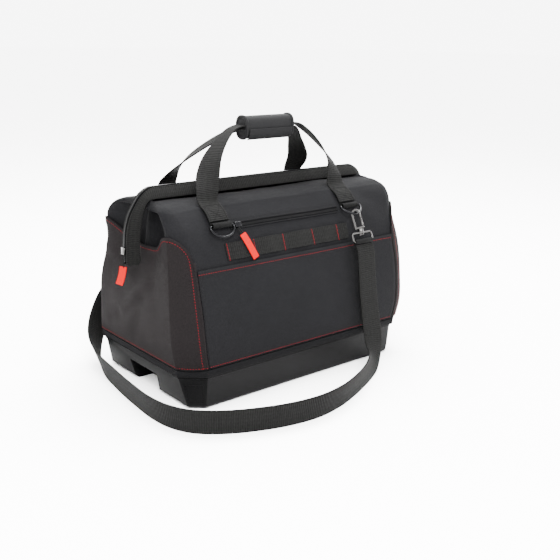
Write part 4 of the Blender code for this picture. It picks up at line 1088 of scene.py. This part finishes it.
@dataclass
class Body:
    """Cloth shell with its pocket panels and their red stitching."""

    shape: BodyShape
    scatter: Scatter
    cloth: float = 0.0018
    panel: float = 0.0015
    panel_gap: float = 0.0008
    panel_foot: float = 0.0016
    panel_edge: float = 0.985
    side_gap: float = 0.0012
    pocket_hem: float = 0.1455
    end_hem_height: float = 0.1925
    end_hem_dip: float = 0.026
    end_hem_front: float = 0.820
    slack: float = 0.52
    slack_rise: float = 1.2
    hem_width: float = 0.009
    hem_rise: float = 0.0008
    stitch_inset: float = 0.0048
    stitch_gap: float = 0.0042
    stitch: tuple[float, float, float] = (0.0030, 0.0008, 0.0007)
    seam_stitch: float = 0.0040
    edge_inset: float = 0.10
    rows: int = 44
    front_columns: int = 72
    ring_steps: tuple[int, int, int] = (56, 14, 64)
    stitch_steps: tuple[int, int, int] = (120, 8, 70)
    corner_steps: int = 16
    end_steps: int = 64
    shell_rows: int = 70
    even_rows: int = 66
    eave_start: float = 0.935
    eave_rows: int = 16
    hem_fade: float = 0.002
    dip_share: float = 0.7
    pocket_left: float = -0.196
    pocket_right: float = 0.208
    hem_steps: int = 160
    arm_foot: float = 0.004
    arm_steps: int = 60

    def build(self) -> Skin:
        """Make the shell, panels and stitches.

        Returns:
            The skin that trim is pressed on to.
        """
        middle = Vector((0, 0, self.shape.seam + self.shape.height / 2))
        places = self.shape.ring(*self.ring_steps)
        heights = [h / self.shell_rows for h in range(self.even_rows)]
        heights += steps(self.eave_start, 1.0, self.eave_rows)
        shell = Grid([[self.shape.point(p, h) for p in places] for h in heights], True, middle)
        shell = shell.lifted(lambda _, point: self.shape.relief(point)).solid("shell", self.cloth, -1.0)
        place_piece(shell, BODY_CLOTH, ["body_shell"])
        things = [shell, self.front_pocket(middle)]
        things += [self.end_pocket(side, middle) for side in (-1, 1)]
        skin = Skin(things)
        self.stitches(skin)
        return skin

    def hem(self, place: Place) -> float:
        """Return the height over the seam of an end pocket's hem."""
        if place.zone is Zone.FACE:
            return self.end_hem_height * self.end_hem_front
        if place.zone is Zone.CORNER:
            rise = (1 - self.end_hem_front) * math.sqrt(1 - (1 - place.share)**2)
            return self.end_hem_height * (self.end_hem_front + rise)
        return self.end_hem_height - self.end_hem_dip * ease((1 - abs(place.share)) / self.dip_share)

    def end_places(self, side_x: int) -> list[Place]:
        """Return the places across an end pocket from front to back."""
        places = [Place(Zone.FACE, t, side_x, -1) for t in steps(self.panel_edge, 1, 2)[:-1]]
        corner = [1 - math.cos(math.pi / 2 * t) for t in steps(0, 1, self.corner_steps)]
        places += [Place(Zone.CORNER, t, side_x, -1) for t in corner[:-1]]
        places += [Place(Zone.END, -math.cos(math.pi * t), side_x, 0) for t in steps(0, 1, self.end_steps)]
        places += [Place(Zone.CORNER, t, side_x, 1) for t in corner[-2::-1]]
        return places + [Place(Zone.FACE, t, side_x, 1) for t in steps(1, self.panel_edge, 2)[1:]]

    def end_pocket(self, side_x: int, middle: Vector) -> bpy.types.Object:
        """Return the cloth panel that wraps the corners of an end."""
        places = self.end_places(side_x)
        tops = [self.hem(p) for p in places]
        grid = []
        for share in steps(0, 1, self.rows):
            loose = 1 - (1 - self.slack) * ease(share * self.slack_rise)
            heights = [(self.panel_foot + share * (top - self.panel_foot)) / self.shape.height
                       for top in tops]
            grid.append([self.shape.point(p, height, loose) for p, height in zip(places, heights)])
        word = "left" if side_x < 0 else "right"
        thing = Grid(grid, False, middle).lifted(self.hemmed(tops))
        thing = thing.solid("end_panel_" + word, self.panel)
        place_piece(thing, END_CLOTH, ["end_pocket_" + word])
        return thing

    def hemmed(self, tops: Sequence[float]) -> Callable[[int, Vector], float]:
        """Return the lift of a panel with a thick hem.

        Args:
            tops: height of the hem over the seam at each column.

        Returns:
            A function that gives the panel's gap, its relief and its hem at a column and a point.
        """
        def lift(column: int, point: Vector) -> float:
            """Return the distance from the body."""
            drop = self.shape.seam + tops[column] - point.z
            hem = self.hem_rise * ease((self.hem_width - drop) / self.hem_fade)
            return self.panel_gap + self.shape.relief(point) + hem

        return lift

    def front_pocket(self, middle: Vector) -> bpy.types.Object:
        """Return the panel across the front."""
        edge = self.panel_edge - self.side_gap / (self.shape.length / 2 - self.shape.corner)
        grid = []
        for share in steps(0, 1, self.rows):
            height = (self.panel_foot + share * (self.pocket_hem - self.panel_foot)) / self.shape.height
            grid.append([self.shape.point(Place(Zone.FACE, abs(t), 1 if t > 0 else -1, -1), height)
                         for t in steps(-edge, edge, self.front_columns)])
        lift = self.hemmed([self.pocket_hem] * (self.front_columns + 1))
        thing = Grid(grid, False, middle).lifted(lift).solid("front_panel", self.panel, 1.0)
        place_piece(thing, BODY_CLOTH, ["front_pocket"])
        return thing

    def stitches(self, skin: Skin) -> None:
        """Sew the red lines of the hems, the corner panels and the seam.

        Args:
            skin: the cloth that they are pressed on to.
        """
        shape, height = self.shape, self.pocket_hem - self.stitch_inset
        hem = [shape.face(x, height, -1) for x in steps(self.pocket_left, self.pocket_right, self.hem_steps)]
        runs = [skin.press([(p, -Y_AXIS) for p in hem])]
        runs += [skin.press([(shape.point(p, h / shape.height, self.slack), shape.outward(p))
                             for p, h in self.hem_line(side_x)]) for side_x in (-1, 1)]
        height = self.seam_stitch / shape.height
        seam = [(shape.point(p, height), shape.outward(p)) for p in shape.ring(*self.stitch_steps)]
        runs.append(skin.press(seam + seam[:1]))
        self.scatter.along("red_stitches", runs, self.stitch_gap, self.stitch, RED_THREAD)

    def hem_line(self, side_x: int) -> list[tuple[Place, float]]:
        """Return the stitch line of an end panel.

        Args:
            side_x: -1 for the left end and 1 for the right one.

        Returns:
            Places and heights up the front corner, along the hem and down the back corner.
        """
        low, top = self.end_hem_height * self.end_hem_front, self.end_hem_height - self.stitch_inset
        arms = []
        for side_y in (-1, 1):
            edge = Place(Zone.CORNER, self.edge_inset, side_x, side_y)
            arm = [(edge, h) for h in steps(self.arm_foot, low, self.arm_steps)]
            for angle in steps(0, math.pi / 2, self.corner_steps)[1:]:
                bend = 1 - (1 - self.edge_inset) * math.cos(angle)
                arm.append((Place(Zone.CORNER, bend, side_x, side_y), low + (top - low) * math.sin(angle)))
            arms.append(arm)
        ends = [p for p in self.end_places(side_x) if p.zone is Zone.END]
        return arms[0] + [(p, self.hem(p) - self.stitch_inset) for p in ends] + arms[1][::-1]


@dataclass
class Mouth:
    """Webbing-bound halves of the mouth frame, the zip between them and its pull."""

    scatter: Scatter
    ridge: float = 0.3215
    thickness: float = 0.0032
    spread: float = 0.0175
    half_gap: float = 0.0062
    drop: float = 0.1130
    splay_left: float = 0.041
    splay_right: float = 0.036
    corner_left: float = 0.210
    corner_right: float = 0.222
    toe: float = 0.004
    toe_round: float = 0.22
    zip_width: float = 0.0056
    zip_thickness: float = 0.0024
    tooth_gap: float = 0.0016
    tooth: tuple[float, float, float] = (0.0010, 0.0042, 0.0012)
    pull_length: float = 0.046
    cord_share: float = 0.50
    cord: float = 0.000715
    cord_gap: float = 0.0014
    tab_width: float = 0.0115
    tab_thickness: float = 0.0018
    tab_bow: float = 0.0012
    tab_foot: float = 0.0005
    crown: float = 0.0012
    edge: float = 0.0008
    stitch_lift: float = 0.0002
    zip_short: float = 0.12
    tape_share: float = 0.7
    hang_out: float = 0.001
    overlap: float = 0.002
    sway_out: float = 0.02
    sway_side: float = 0.002
    sway_rate: float = 3.0
    cord_steps: int = 8
    tab_steps: int = 10
    tab_edge: ClassVar[Vector] = Y_AXIS - X_AXIS * 0.8

    def build(self) -> None:
        """Make both bands, the zip, its teeth and the pull."""
        for side_y, word in ((-1, "front"), (1, "back")):
            self.band(side_y, word)
        self.zip()

    def row(self, row: LegRow, side_x: int, side_y: int) -> tuple[Vector, Vector]:
        """Return the zip-side and cloth-side edge points at a table row."""
        corner = self.corner_right if side_x > 0 else self.corner_left
        splay = self.splay_right if side_x > 0 else self.splay_left
        return (Vector((side_x * (corner + row.zip_out * splay), side_y * self.half_gap,
                        self.ridge - row.zip_down * self.drop)),
                Vector((side_x * (corner + row.edge_out * splay), side_y * self.spread * row.side,
                        self.ridge - row.edge_down * self.drop)))

    def pairs(self, side_y: int) -> list[tuple[Vector, Vector]]:
        """Return the pairs of edge points along a half, from left to right."""
        found = []
        for side_x, rows in ((-1, LEG_ROWS[::-1]), (1, LEG_ROWS)):
            side = [self.row(row, side_x, side_y) for row in rows]
            foot = side[0] if side_x < 0 else side[-1]
            shrink = (foot[1] - foot[0]) * self.toe_round
            toe = (foot[0] + shrink - Z_AXIS * self.toe, foot[1] - shrink - Z_AXIS * self.toe)
            found += [toe] + side if side_x < 0 else side + [toe]
        return found

    def band(self, side_y: int, word: str) -> None:
        """Make a half of the frame.

        Args:
            side_y: -1 for the front half and 1 for the back one.
            word: its side's name.
        """
        pairs = self.pairs(side_y)
        lengths = spans([(a + b) / 2 for a, b in pairs])
        inner = smooth_path([a for a, _ in pairs], lengths, 5)
        outer = smooth_path([b for _, b in pairs], lengths, 5)
        rows = []
        for share in steps(0, 1, 8):
            crown = self.crown * math.sin(math.pi * share)
            rows.append([a.lerp(b, share) + Vector((0, 0, crown)) for a, b in zip(inner, outer)])
        grid = Grid(rows, False, BODY_HEART)
        thing = grid.solid("mouth_band_cloth_" + word, self.thickness, -1.0, self.edge)
        place_piece(thing, WEBBING, ["mouth_band_" + word])
        normals = grid.normals()
        runs = []
        for k in (1, len(grid.rows) - 2):
            runs.append([(p + n * self.stitch_lift, n) for p, n in zip(grid.rows[k], normals[k])])
        self.scatter.along("band_stitches_" + word, runs, DARK_GAP, DARK_STITCH, DARK_THREAD)

    def line(self) -> list[Vector]:
        """Return the middle line between the halves, from left to right."""
        return [(a[0] + b[0]) / 2 for a, b in zip(self.pairs(-1), self.pairs(1))][1:-1]

    def zip(self) -> None:
        """Make the tape, the teeth, the slider and the pull."""
        line = self.line()
        line[0], line[-1] = line[0].lerp(line[1], self.zip_short), line[-1].lerp(line[-2], self.zip_short)
        path = smooth_path(line, spans(line), 6)
        half = Y_AXIS * self.zip_width / 2
        grid = Grid([[p + half * s for p in path] for s in steps(-1, 1, 4)], False, BODY_HEART)
        tape = grid.solid("zip_tape", self.zip_thickness * self.tape_share, -1.0)
        place_piece(tape, ZIP_TAPE, ["mouth_zip"])
        runs = [[(p, n) for p, n in zip(grid.rows[2], grid.normals()[2])]]
        self.scatter.along("mouth_teeth", runs, self.tooth_gap, self.tooth, ZIP_TEETH, True)
        slider = softened("mouth_slider", "mouth_slider_body", self.edge, 2)
        place_piece(slider, HOOK_METAL, ["mouth_slider"])
        low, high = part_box("mouth_slider")
        top = Vector(((low.x + high.x) / 2 - self.hang_out, 0, low.z + self.overlap))
        turns = steps(0, self.cord_share, self.cord_steps)
        sway = [Vector((-self.sway_out * t * t, self.sway_side * math.sin(self.sway_rate * t), -t))
                for t in turns]
        sway = [top + p * self.pull_length for p in sway]
        apart = Y_AXIS * self.cord_gap
        loop = [p + apart for p in sway] + [p - apart for p in sway[::-1]]
        cord = tube("mouth_cord", loop, self.cord, 6, True)
        place_piece(cord, CORD)
        low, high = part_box("mouth_pull")
        end = Vector((low.x + self.hang_out, 0.0, low.z + self.tab_foot))
        start = sway[-1] + Z_AXIS * self.overlap
        path = [start.lerp(end, t) + X_AXIS * self.tab_bow * math.sin(math.pi * t)
                for t in steps(0, 1, self.tab_steps)]
        tab = Ribbon(path, [self.tab_edge.normalized()] * len(path), [self.tab_width] * len(path),
                     self.tab_thickness)
        place_piece(tab.solid("mouth_tab"), RED_CLOTH, ["mouth_pull"])


class Ribbon:
    """Flat strip along a path, with an edge direction and a width at each point."""

    EDGE_SHARE = 0.3

    def __init__(self, centres: Sequence[Vector], edges: Sequence[Vector], widths: Sequence[float],
                 thickness: float) -> None:
        """Keep the path and work out the edge directions square to it."""
        self.centres, self.widths, self.thickness = list(centres), list(widths), thickness
        self.edges, last = [], len(self.centres) - 1
        for i in range(last + 1):
            along = (self.centres[min(i + 1, last)] - self.centres[max(i - 1, 0)]).normalized()
            self.edges.append((edges[i] - along * edges[i].dot(along)).normalized())

    def grid(self, columns: int = 4) -> Grid:
        """Return the strip's middle surface, with rows across it."""
        return Grid([[c + e * (w * s / 2) for c, e, w in zip(self.centres, self.edges, self.widths)]
                     for s in steps(-1, 1, columns)])

    def solid(self, name: str, columns: int = 4) -> bpy.types.Object:
        """Return the strip as a closed piece with rounded edges."""
        return self.grid(columns).solid(name, self.thickness, 0.0, self.thickness * self.EDGE_SHARE)


@dataclass
class Trim:
    """Front zip, tool webbing in loops, their tab and the red bar stitches."""

    shape: BodyShape
    scatter: Scatter
    skin: Skin
    zip_left: float = -0.1215
    zip_right: float = 0.1005
    zip_height: float = 0.199
    zip_depth: float = 0.0080
    zip_thickness: float = 0.0014
    lip: float = 0.0015
    lip_sunk: float = 0.7
    tooth: tuple[float, float, float] = (0.0010, 0.0034, 0.0012)
    tooth_gap: float = 0.0016
    seam_above: float = 0.0045
    seam_gap: float = 0.0042
    seam_stitch: tuple[float, float, float] = (0.0030, 0.0007, 0.0005)
    slider_edge: float = 0.0009
    webbing_top: float = 0.177
    webbing_width: float = 0.0245
    webbing_thickness: float = 0.0014
    webbing_edge: float = 0.0004
    loop_rise: float = 0.0026
    loops: tuple[float, ...] = (-0.140, -0.086, -0.028, 0.033, 0.088, 0.112)
    bar_stitch: tuple[float, float, float] = (0.0018, 0.0015, 0.0008)
    bar_gap: float = 0.0023
    bar_inset: float = 0.001
    first_bar: float = 0.003
    lay: float = 0.0003
    pull_length: float = 0.045
    pull_swing: float = 0.0195
    pull_clear: float = 0.0030
    pull_left: float = 0.002
    pull_below: float = 0.005
    cord_gap: float = 0.0016
    cord_radius: float = 0.0008
    tab_width: float = 0.0115
    tab_thickness: float = 0.0018
    webbing_steps: tuple[int, int] = (150, 6)
    zip_steps: tuple[int, int] = (90, 4)
    bar_steps: int = 24
    tape_share: float = 0.5
    tooth_rise: float = 0.6
    lower_lip: float = 0.8
    pull_steps: int = 16
    cord_steps: int = 4
    swing_start: float = 0.1
    swing_rate: float = 0.8
    near_share: float = 0.55

    def strip(self, left: float, right: float, low: float, high: float, columns: int, rows: int,
              lift: Callable[[float], float]) -> Grid:
        """Return a grid on the front between two heights over the seam.

        Args:
            left: its left end.
            right: its right end.
            low: its lower edge.
            high: its upper edge.
            columns: steps along it.
            rows: steps up it.
            lift: gives its distance from the cloth at an x.

        Returns:
            The grid, laid on the finished cloth.
        """
        grid = []
        for height in steps(low, high, rows):
            line = []
            for x in steps(left, right, columns):
                point, normal, _ = self.shape.face_frame(x, height, -1)
                point += normal * self.shape.relief(point)
                line.append(point + normal * lift(x))
            grid.append(line)
        return Grid(grid, False, BODY_HEART)

    def build(self) -> None:
        """Make every trim piece."""
        self.webbing()
        self.zip()
        self.pull()

    def webbing(self) -> None:
        """Make the webbing and its bar stitches."""
        def lift(x: float) -> float:
            """Return the rise of a loop between its bar stitches."""
            for left, right in zip(self.loops, self.loops[1:]):
                if left <= x <= right:
                    return self.lay + self.loop_rise * math.sin(math.pi * (x - left) / (right - left))**2
            return self.lay

        low = self.webbing_top - self.webbing_width
        grid = self.strip(self.loops[0], self.loops[-1], low, self.webbing_top, *self.webbing_steps, lift)
        thing = grid.solid("loop_webbing", self.webbing_thickness, 1.0, self.webbing_edge)
        place_piece(thing, WEBBING, ["tool_webbing"])
        skin, runs = Skin([thing]), []
        for x in self.loops[:-1]:
            shift = self.first_bar if x == self.loops[0] else 0.0
            heights = steps(low + self.bar_inset, self.webbing_top - self.bar_inset, self.bar_steps)
            line = [self.shape.face(x + shift, h, -1) for h in heights]
            runs.append(skin.press([(p, -Y_AXIS) for p in line], THREAD_LIFT))
        self.scatter.along("bar_stitches", runs, self.bar_gap, self.bar_stitch, RED_THREAD)

    def zip(self) -> None:
        """Make the tape, teeth and lips of the front zip, and the line of stitches over it."""
        low, high = self.zip_height - self.zip_depth / 2, self.zip_height + self.zip_depth / 2
        columns, rows = self.zip_steps
        grid = self.strip(self.zip_left, self.zip_right, low, high, columns, rows, lambda x: self.lay)
        tape = grid.solid("front_zip_tape", self.zip_thickness * self.tape_share, 1.0)
        place_piece(tape, ZIP_TAPE, ["front_zip"])
        normals, middle = grid.normals(), rows // 2
        line = [(p + n * self.zip_thickness * self.tooth_rise, n)
                for p, n in zip(grid.rows[middle], normals[middle])]
        self.scatter.along("front_teeth", [line], self.tooth_gap, self.tooth, ZIP_TEETH, True)
        for k, word, radius in ((0, "lower", self.lip * self.lower_lip), (rows, "upper", self.lip)):
            path = [p + n * radius * self.lip_sunk for p, n in zip(grid.rows[k], normals[k])]
            place_piece(tube("zip_lip_" + word, path, radius), WELT_CLOTH)
        places = steps(self.zip_left, self.zip_right, columns)
        above = [self.shape.face(x, high + self.seam_above, -1) for x in places]
        runs = [self.skin.press([(p, -Y_AXIS) for p in above])]
        self.scatter.along("zip_stitches", runs, self.seam_gap, self.seam_stitch, DARK_THREAD)

    def pull(self) -> None:
        """Make the slider, the short cord and the red tab."""
        slider = softened("front_slider", "front_slider_body", self.slider_edge, 2)
        place_piece(slider, RING_METAL, ["front_slider"])
        low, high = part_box("front_slider")
        x = (low.x + high.x) / 2 - self.pull_left
        over = self.webbing_thickness + self.loop_rise + self.pull_clear
        centres = []
        for share in steps(0, 1, self.pull_steps):
            height = self.zip_height - self.pull_below - self.pull_length * share
            point, normal, _ = self.shape.face_frame(x + self.pull_swing * share, height, -1)
            swing = math.sin(math.pi * min(share * self.swing_rate + self.swing_start, 0.5))
            centres.append(point + normal * over * (self.near_share + (1 - self.near_share) * swing))
        side = normal.cross(centres[-1] - centres[0]).normalized()
        cut = self.cord_steps
        apart = side * self.cord_gap
        loop = [p + apart for p in centres[:cut + 1]] + [p - apart for p in centres[cut::-1]]
        place_piece(tube("front_cord", loop, self.cord_radius, 6, True), CORD)
        count = len(centres) - cut + 1
        tab = Ribbon(centres[cut - 1:], [side] * count, [self.tab_width] * count, self.tab_thickness)
        place_piece(tab.solid("front_tab"), RED_CLOTH, ["front_pull"])


@dataclass(frozen=True)
class HandleSizes:
    """Sizes of the handles and the grip."""

    webbing: float = 0.036
    thickness: float = 0.0022
    spacing: float = 0.266
    centre: float = -0.006
    foot: float = 0.2065
    lift_off: float = 0.231
    rise: float = 0.100
    shift: float = 0.0255
    stack: float = 0.00484
    lift: float = 0.0046
    grip_length: float = 0.101
    grip_height: float = 0.0395
    grip_depth: float = 0.032
    grip_rise: float = 0.0030
    squareness: float = 0.75


@dataclass
class Handles:
    """Two webbing handles held in one padded grip."""

    shape: BodyShape
    scatter: Scatter
    sizes: HandleSizes = HandleSizes()
    swell: float = 0.0012
    binding_radius: float = 0.0029
    binding_in: float = 0.90
    box_stitch: tuple[float, float, float] = (0.0026, 0.0012, 0.0008)
    box_gap: float = 0.0032
    box_side: float = 0.003
    box_end: float = 0.001
    fill: float = 0.75
    flap_lift: float = 0.0004
    flap_thickness: float = 0.0011
    flap_span: range = range(36, 50)
    held_end: float = 0.006
    pad_inset: float = 0.0015
    pad_rings: int = 14
    pad_sides: int = 36
    voxel: float = 0.0040
    pressure: float = 4.0
    frames: int = 20
    arm_steps: int = 10
    box_steps: int = 12
    binding_points: int = 48
    binding_sides: int = 10
    flap_points: int = 72
    flap_columns: int = 20

    def build(self) -> None:
        """Make the handles, their box stitches and the grip."""
        for side_y, word in ((-1, "front"), (1, "back")):
            self.handle(side_y, word)
        self.grip()

    def handle(self, side_y: int, word: str) -> None:
        """Make a handle from foot to foot.

        Args:
            side_y: -1 for the front and 1 for the back.
            word: its side's name.
        """
        size = self.sizes
        centres, edges, widths = [], [], []
        for side_x in (-1, 1):
            x = size.centre + side_x * size.spacing / 2
            arm = []
            for share in (0.0, 0.5, 1.0):
                height = size.foot + (size.lift_off - size.foot) * share
                point, normal, _ = self.shape.face_frame(x, height, side_y)
                arm.append((point + normal * size.lift, Vector((-side_x, 0, 0)), size.webbing))
            root = arm[-1][0]
            for row in HANDLE_ROWS:
                stack = -side_y * size.stack / 2 * row.stack
                twist = math.radians(row.twist)
                x = size.centre + size.shift * row.shift + side_x * (size.spacing / 2 * row.span + stack)
                place = Vector((x, side_y * abs(root.y) * row.depth, root.z + size.rise * row.rise + stack))
                edge = Vector((-side_x * math.cos(twist), side_y * math.sin(twist), 0))
                arm.append((place, edge, size.webbing * row.width))
            for place, edge, width in arm if side_x < 0 else arm[::-1]:
                centres.append(place)
                edges.append(edge)
                widths.append(Vector((width, 0, 0)))
        lengths = spans(centres)
        path, turned, wide = (smooth_path(values, lengths, self.arm_steps)
                              for values in (centres, edges, widths))
        strip = Ribbon(path, turned, [w.x for w in wide], size.thickness)
        thing = strip.solid("handle_webbing_" + word, 6)
        place_piece(thing, WEBBING, ["handle_" + word])
        self.foot_stitches(side_y, word, Skin([thing]))

    def foot_stitches(self, side_y: int, word: str, skin: Skin) -> None:
        """Sew a box with a cross on each foot of a handle.

        Args:
            side_y: -1 for the front and 1 for the back.
            word: its side's name.
            skin: the handle that the thread is pressed on to.
        """
        size, runs = self.sizes, []
        half = size.webbing / 2 - self.box_side
        low, high = size.foot + self.box_end, size.lift_off - self.box_end
        marks = ((-half, low), (half, low), (half, high), (-half, high), (-half, low), (half, high))
        lines = (marks, ((-half, high), (half, low)))
        for side_x in (-1, 1):
            x = size.centre + side_x * size.spacing / 2
            for corners in lines:
                line = []
                for (a, b), (c, d) in zip(corners, corners[1:]):
                    line += [self.shape.face(x + a + (c - a) * t, b + (d - b) * t, side_y)
                             for t in steps(0, 1, self.box_steps)]
                runs.append(skin.press([(p, Y_AXIS * side_y) for p in line], THREAD_LIFT))
        self.scatter.along("box_stitches_" + word, runs, self.box_gap, self.box_stitch, DARK_THREAD)

    def profile(self, x: float, shrink: float, count: int) -> list[Vector]:
        """Return the grip's outline at x, moved inwards by shrink.

        Args:
            x: distance along the grip from its middle.
            shrink: how far the outline is moved inwards.
            count: its points.

        Returns:
            The points of the outline.
        """
        size = self.sizes
        root, _, _ = self.shape.face_frame(size.centre - size.spacing / 2, size.lift_off, -1)
        height = root.z + size.rise * HANDLE_ROWS[-1].rise + size.grip_rise
        centre = Vector((size.centre + size.shift + x, 0, height))
        depth, tall = size.grip_depth / 2 - shrink, size.grip_height / 2 - shrink
        points = []
        for k in range(count):
            angle = math.tau * (k + 0.5) / count
            c, s = math.cos(angle), math.sin(angle)
            points.append(centre + Vector((0, math.copysign(abs(c)**size.squareness, c) * depth,
                                           math.copysign(abs(s)**size.squareness, s) * tall)))
        return points

    def grip(self) -> None:
        """Make the padded wrap, its bindings and its overlapping edge."""
        size = self.sizes
        half = size.grip_length / 2
        stations = steps(self.pad_inset - half, half - self.pad_inset, self.pad_rings)
        pad = bridged("grip_pad", [self.profile(x, self.swell, self.pad_sides) for x in stations])
        self.inflate(pad, half)
        pad.data.shade_smooth()
        place_piece(pad, GRIP_CLOTH, ["handle_grip"])
        for side, word in ((-1, "left"), (1, "right")):
            shrink = self.binding_radius * self.binding_in
            path = self.profile(side * (half - self.binding_radius), shrink, self.binding_points)
            ring = tube("grip_binding_" + word, path, self.binding_radius, self.binding_sides, True)
            place_piece(ring, GRIP_CLOTH)
        self.flap(half)

    def flap(self, half: float) -> None:
        """Make the overlapping edge that closes the wrap along its lower front.

        Args:
            half: half the grip's length.
        """
        reach = half - self.binding_radius * 2
        stations = steps(-reach, reach, self.flap_columns)
        rings = [self.profile(x, -self.flap_lift, self.flap_points) for x in stations]
        rows = [[ring[k] for ring in rings] for k in self.flap_span]
        middle = self.profile(0, 0, 4)
        heart = (middle[0] + middle[2]) / 2
        thing = Grid(rows, False, heart).solid("grip_flap", self.flap_thickness, 1.0, self.flap_lift)
        place_piece(thing, GRIP_CLOTH)
        run = Skin([thing]).press([(p, (p - heart).normalized()) for p in rows[-3]], THREAD_LIFT)
        self.scatter.along("grip_stitches", [run], DARK_GAP, DARK_STITCH, DARK_THREAD)

    def inflate(self, pad: bpy.types.Object, half: float) -> None:
        """Swell the pad with cloth under pressure.

        Args:
            pad: the pad, slightly smaller than its finished form.
            half: half its length, whose ends are held.
        """
        scene = bpy.context.scene
        fine = pad.modifiers.new("fine", "REMESH")
        fine.mode, fine.voxel_size = "VOXEL", self.voxel
        bake(pad)
        rest = [v.co.copy() for v in pad.data.vertices]
        middle = sum((p.x for p in rest)) / len(rest)
        held = pad.vertex_groups.new(name="held")
        for i, point in enumerate(rest):
            if abs(point.x - middle) > half - self.held_end:
                held.add([i], 1.0, "REPLACE")
        cloth = pad.modifiers.new("cloth", "CLOTH")
        cloth.settings.use_pressure = True
        cloth.settings.uniform_pressure_force = self.pressure
        cloth.settings.effector_weights.gravity = 0.0
        cloth.settings.vertex_group_mass = "held"
        for step in range(1, self.frames + 1):
            scene.frame_set(step)
        bake(pad)
        scene.frame_set(1)
        for vertex, start in zip(pad.data.vertices, rest):
            move = vertex.co - start
            if move.length > self.swell:
                vertex.co = start + move.normalized() * self.swell
        smooth = pad.modifiers.new("smooth", "SUBSURF")
        smooth.levels = smooth.render_levels = 1
        bake(pad)


@dataclass
class Hardware:
    """D-rings in their tabs, two snap hooks and the strap's folded ends, with their rounded edges."""

    body_edge: float = 0.0013
    gate_edge: float = 0.0008
    base_edge: float = 0.0004
    fold_edge: float = 0.0005
    bend: float = 40.0

    def build(self) -> None:
        """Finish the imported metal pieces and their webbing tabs."""
        for hand in ("left", "right"):
            for face in ("front", "back"):
                self.ring("d_ring_" + face + "_" + hand)
                self.edge("ring_tab_" + face + "_" + hand, FOLDED_WEBBING, self.fold_edge, 2)
        for face in ("front", "back"):
            self.edge("hook_body_" + face, HOOK_METAL, self.body_edge, 3)
            self.edge("hook_gate_" + face, HOOK_METAL, self.gate_edge, 2)
            self.edge("hook_base_" + face, HOOK_METAL, self.base_edge, 2)
            self.edge("strap_end_" + face, FOLDED_WEBBING, self.fold_edge, 2)

    def finish(self, name: str, finish: Finish) -> bpy.types.Object:
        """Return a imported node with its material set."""
        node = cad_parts[name]
        node.data.materials.clear()
        node.data.materials.append(finish.material())
        weld = node.modifiers.new("weld", "WELD")
        weld.merge_threshold = WELD
        LOG.info("%s: %d faces", name, len(node.data.polygons))
        return node

    def ring(self, name: str) -> None:
        """Round a D-ring."""
        node = self.finish(name, RING_METAL)
        smooth = node.modifiers.new("smooth", "SUBSURF")
        smooth.levels = smooth.render_levels = 1
        node.data.shade_smooth()

    def edge(self, name: str, finish: Finish, width: float, segments: int) -> None:
        """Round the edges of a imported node.

        Args:
            name: the node.
            finish: its look.
            width: width of the rounded edges.
            segments: steps across an edge.
        """
        node = self.finish(name, finish)
        edge = node.modifiers.new("edge", "BEVEL")
        edge.width, edge.segments, edge.limit_method = width, segments, "ANGLE"
        edge.angle_limit = math.radians(self.bend)
        edge.harden_normals = True
        node.data.shade_smooth()


@dataclass
class Strap:
    """Long shoulder strap from the front hook to the back one."""

    width: float = 0.039
    thickness: float = 0.0020
    tray_length: float = 0.460
    tray_width: float = 0.275
    front_bar: tuple[float, float, float] = (0.127, -0.13304, 0.21604)
    back_bar: tuple[float, float, float] = (-0.139, 0.13307, 0.21614)
    tilt: float = 26.0
    bar_hole: float = 0.0023
    wall: float = 0.0019
    tongue: float = 0.016
    touch: float = 0.0004

    def end(self, bar: Vector, side_y: int) -> tuple[Vector, Vector]:
        """Return the strap's first points below a bar."""
        tilt = math.radians(self.tilt)
        down = Vector((0, side_y * math.sin(tilt), -math.cos(tilt)))
        away = Vector((0, side_y * math.cos(tilt), math.sin(tilt)))
        flat = away * (self.touch + self.thickness / 2 - self.bar_hole)
        near = self.bar_hole + self.wall + 2 * self.touch
        return bar + down * near + flat, bar + down * self.tongue + flat

    def hang(self, row: StrapRow, bar: Vector) -> Vector:
        """Return a point of the hanging part under a bar."""
        return Vector((bar.x + row.along * self.width, row.across * self.tray_width / 2, row.height * bar.z))

    def build(self) -> None:
        """Make the strap along its route."""
        front, back = Vector(self.front_bar), Vector(self.back_bar)
        points = [*self.end(front, -1), *(self.hang(row, front) for row in STRAP_FRONT_HANG)]
        points += [Vector((row.along * self.tray_length / 2, row.across * self.tray_width / 2,
                           row.height * self.width)) for row in STRAP_FLOOR]
        points += [self.hang(row, back) for row in STRAP_BACK_HANG] + list(self.end(back, 1))[::-1]
        leans = [Vector(row.lean) for row in STRAP_FRONT_HANG + STRAP_FLOOR + STRAP_BACK_HANG]
        edges = [-X_AXIS] * 2 + leans + [-X_AXIS] * 2
        lengths = spans(points)
        path = smooth_path(points, lengths, 8)
        strip = Ribbon(path, smooth_path(edges, lengths, 8), [self.width] * len(path), self.thickness)
        place_piece(strip.solid("strap_webbing", 6), WEBBING, ["shoulder_strap"])


def main() -> None:
    """Build the bag piece by piece, then the studio."""
    logging.basicConfig(level=logging.INFO, format="%(name)s %(message)s")
    shape = BodyShape()
    Studio().build()
    scatter = Scatter()
    Tray().build()
    skin = Body(shape, scatter).build()
    Mouth(scatter).build()
    Trim(shape, scatter, skin).build()
    Handles(shape, scatter).build()
    Hardware().build()
    Strap().build()


if __name__ == "__main__":
    main()
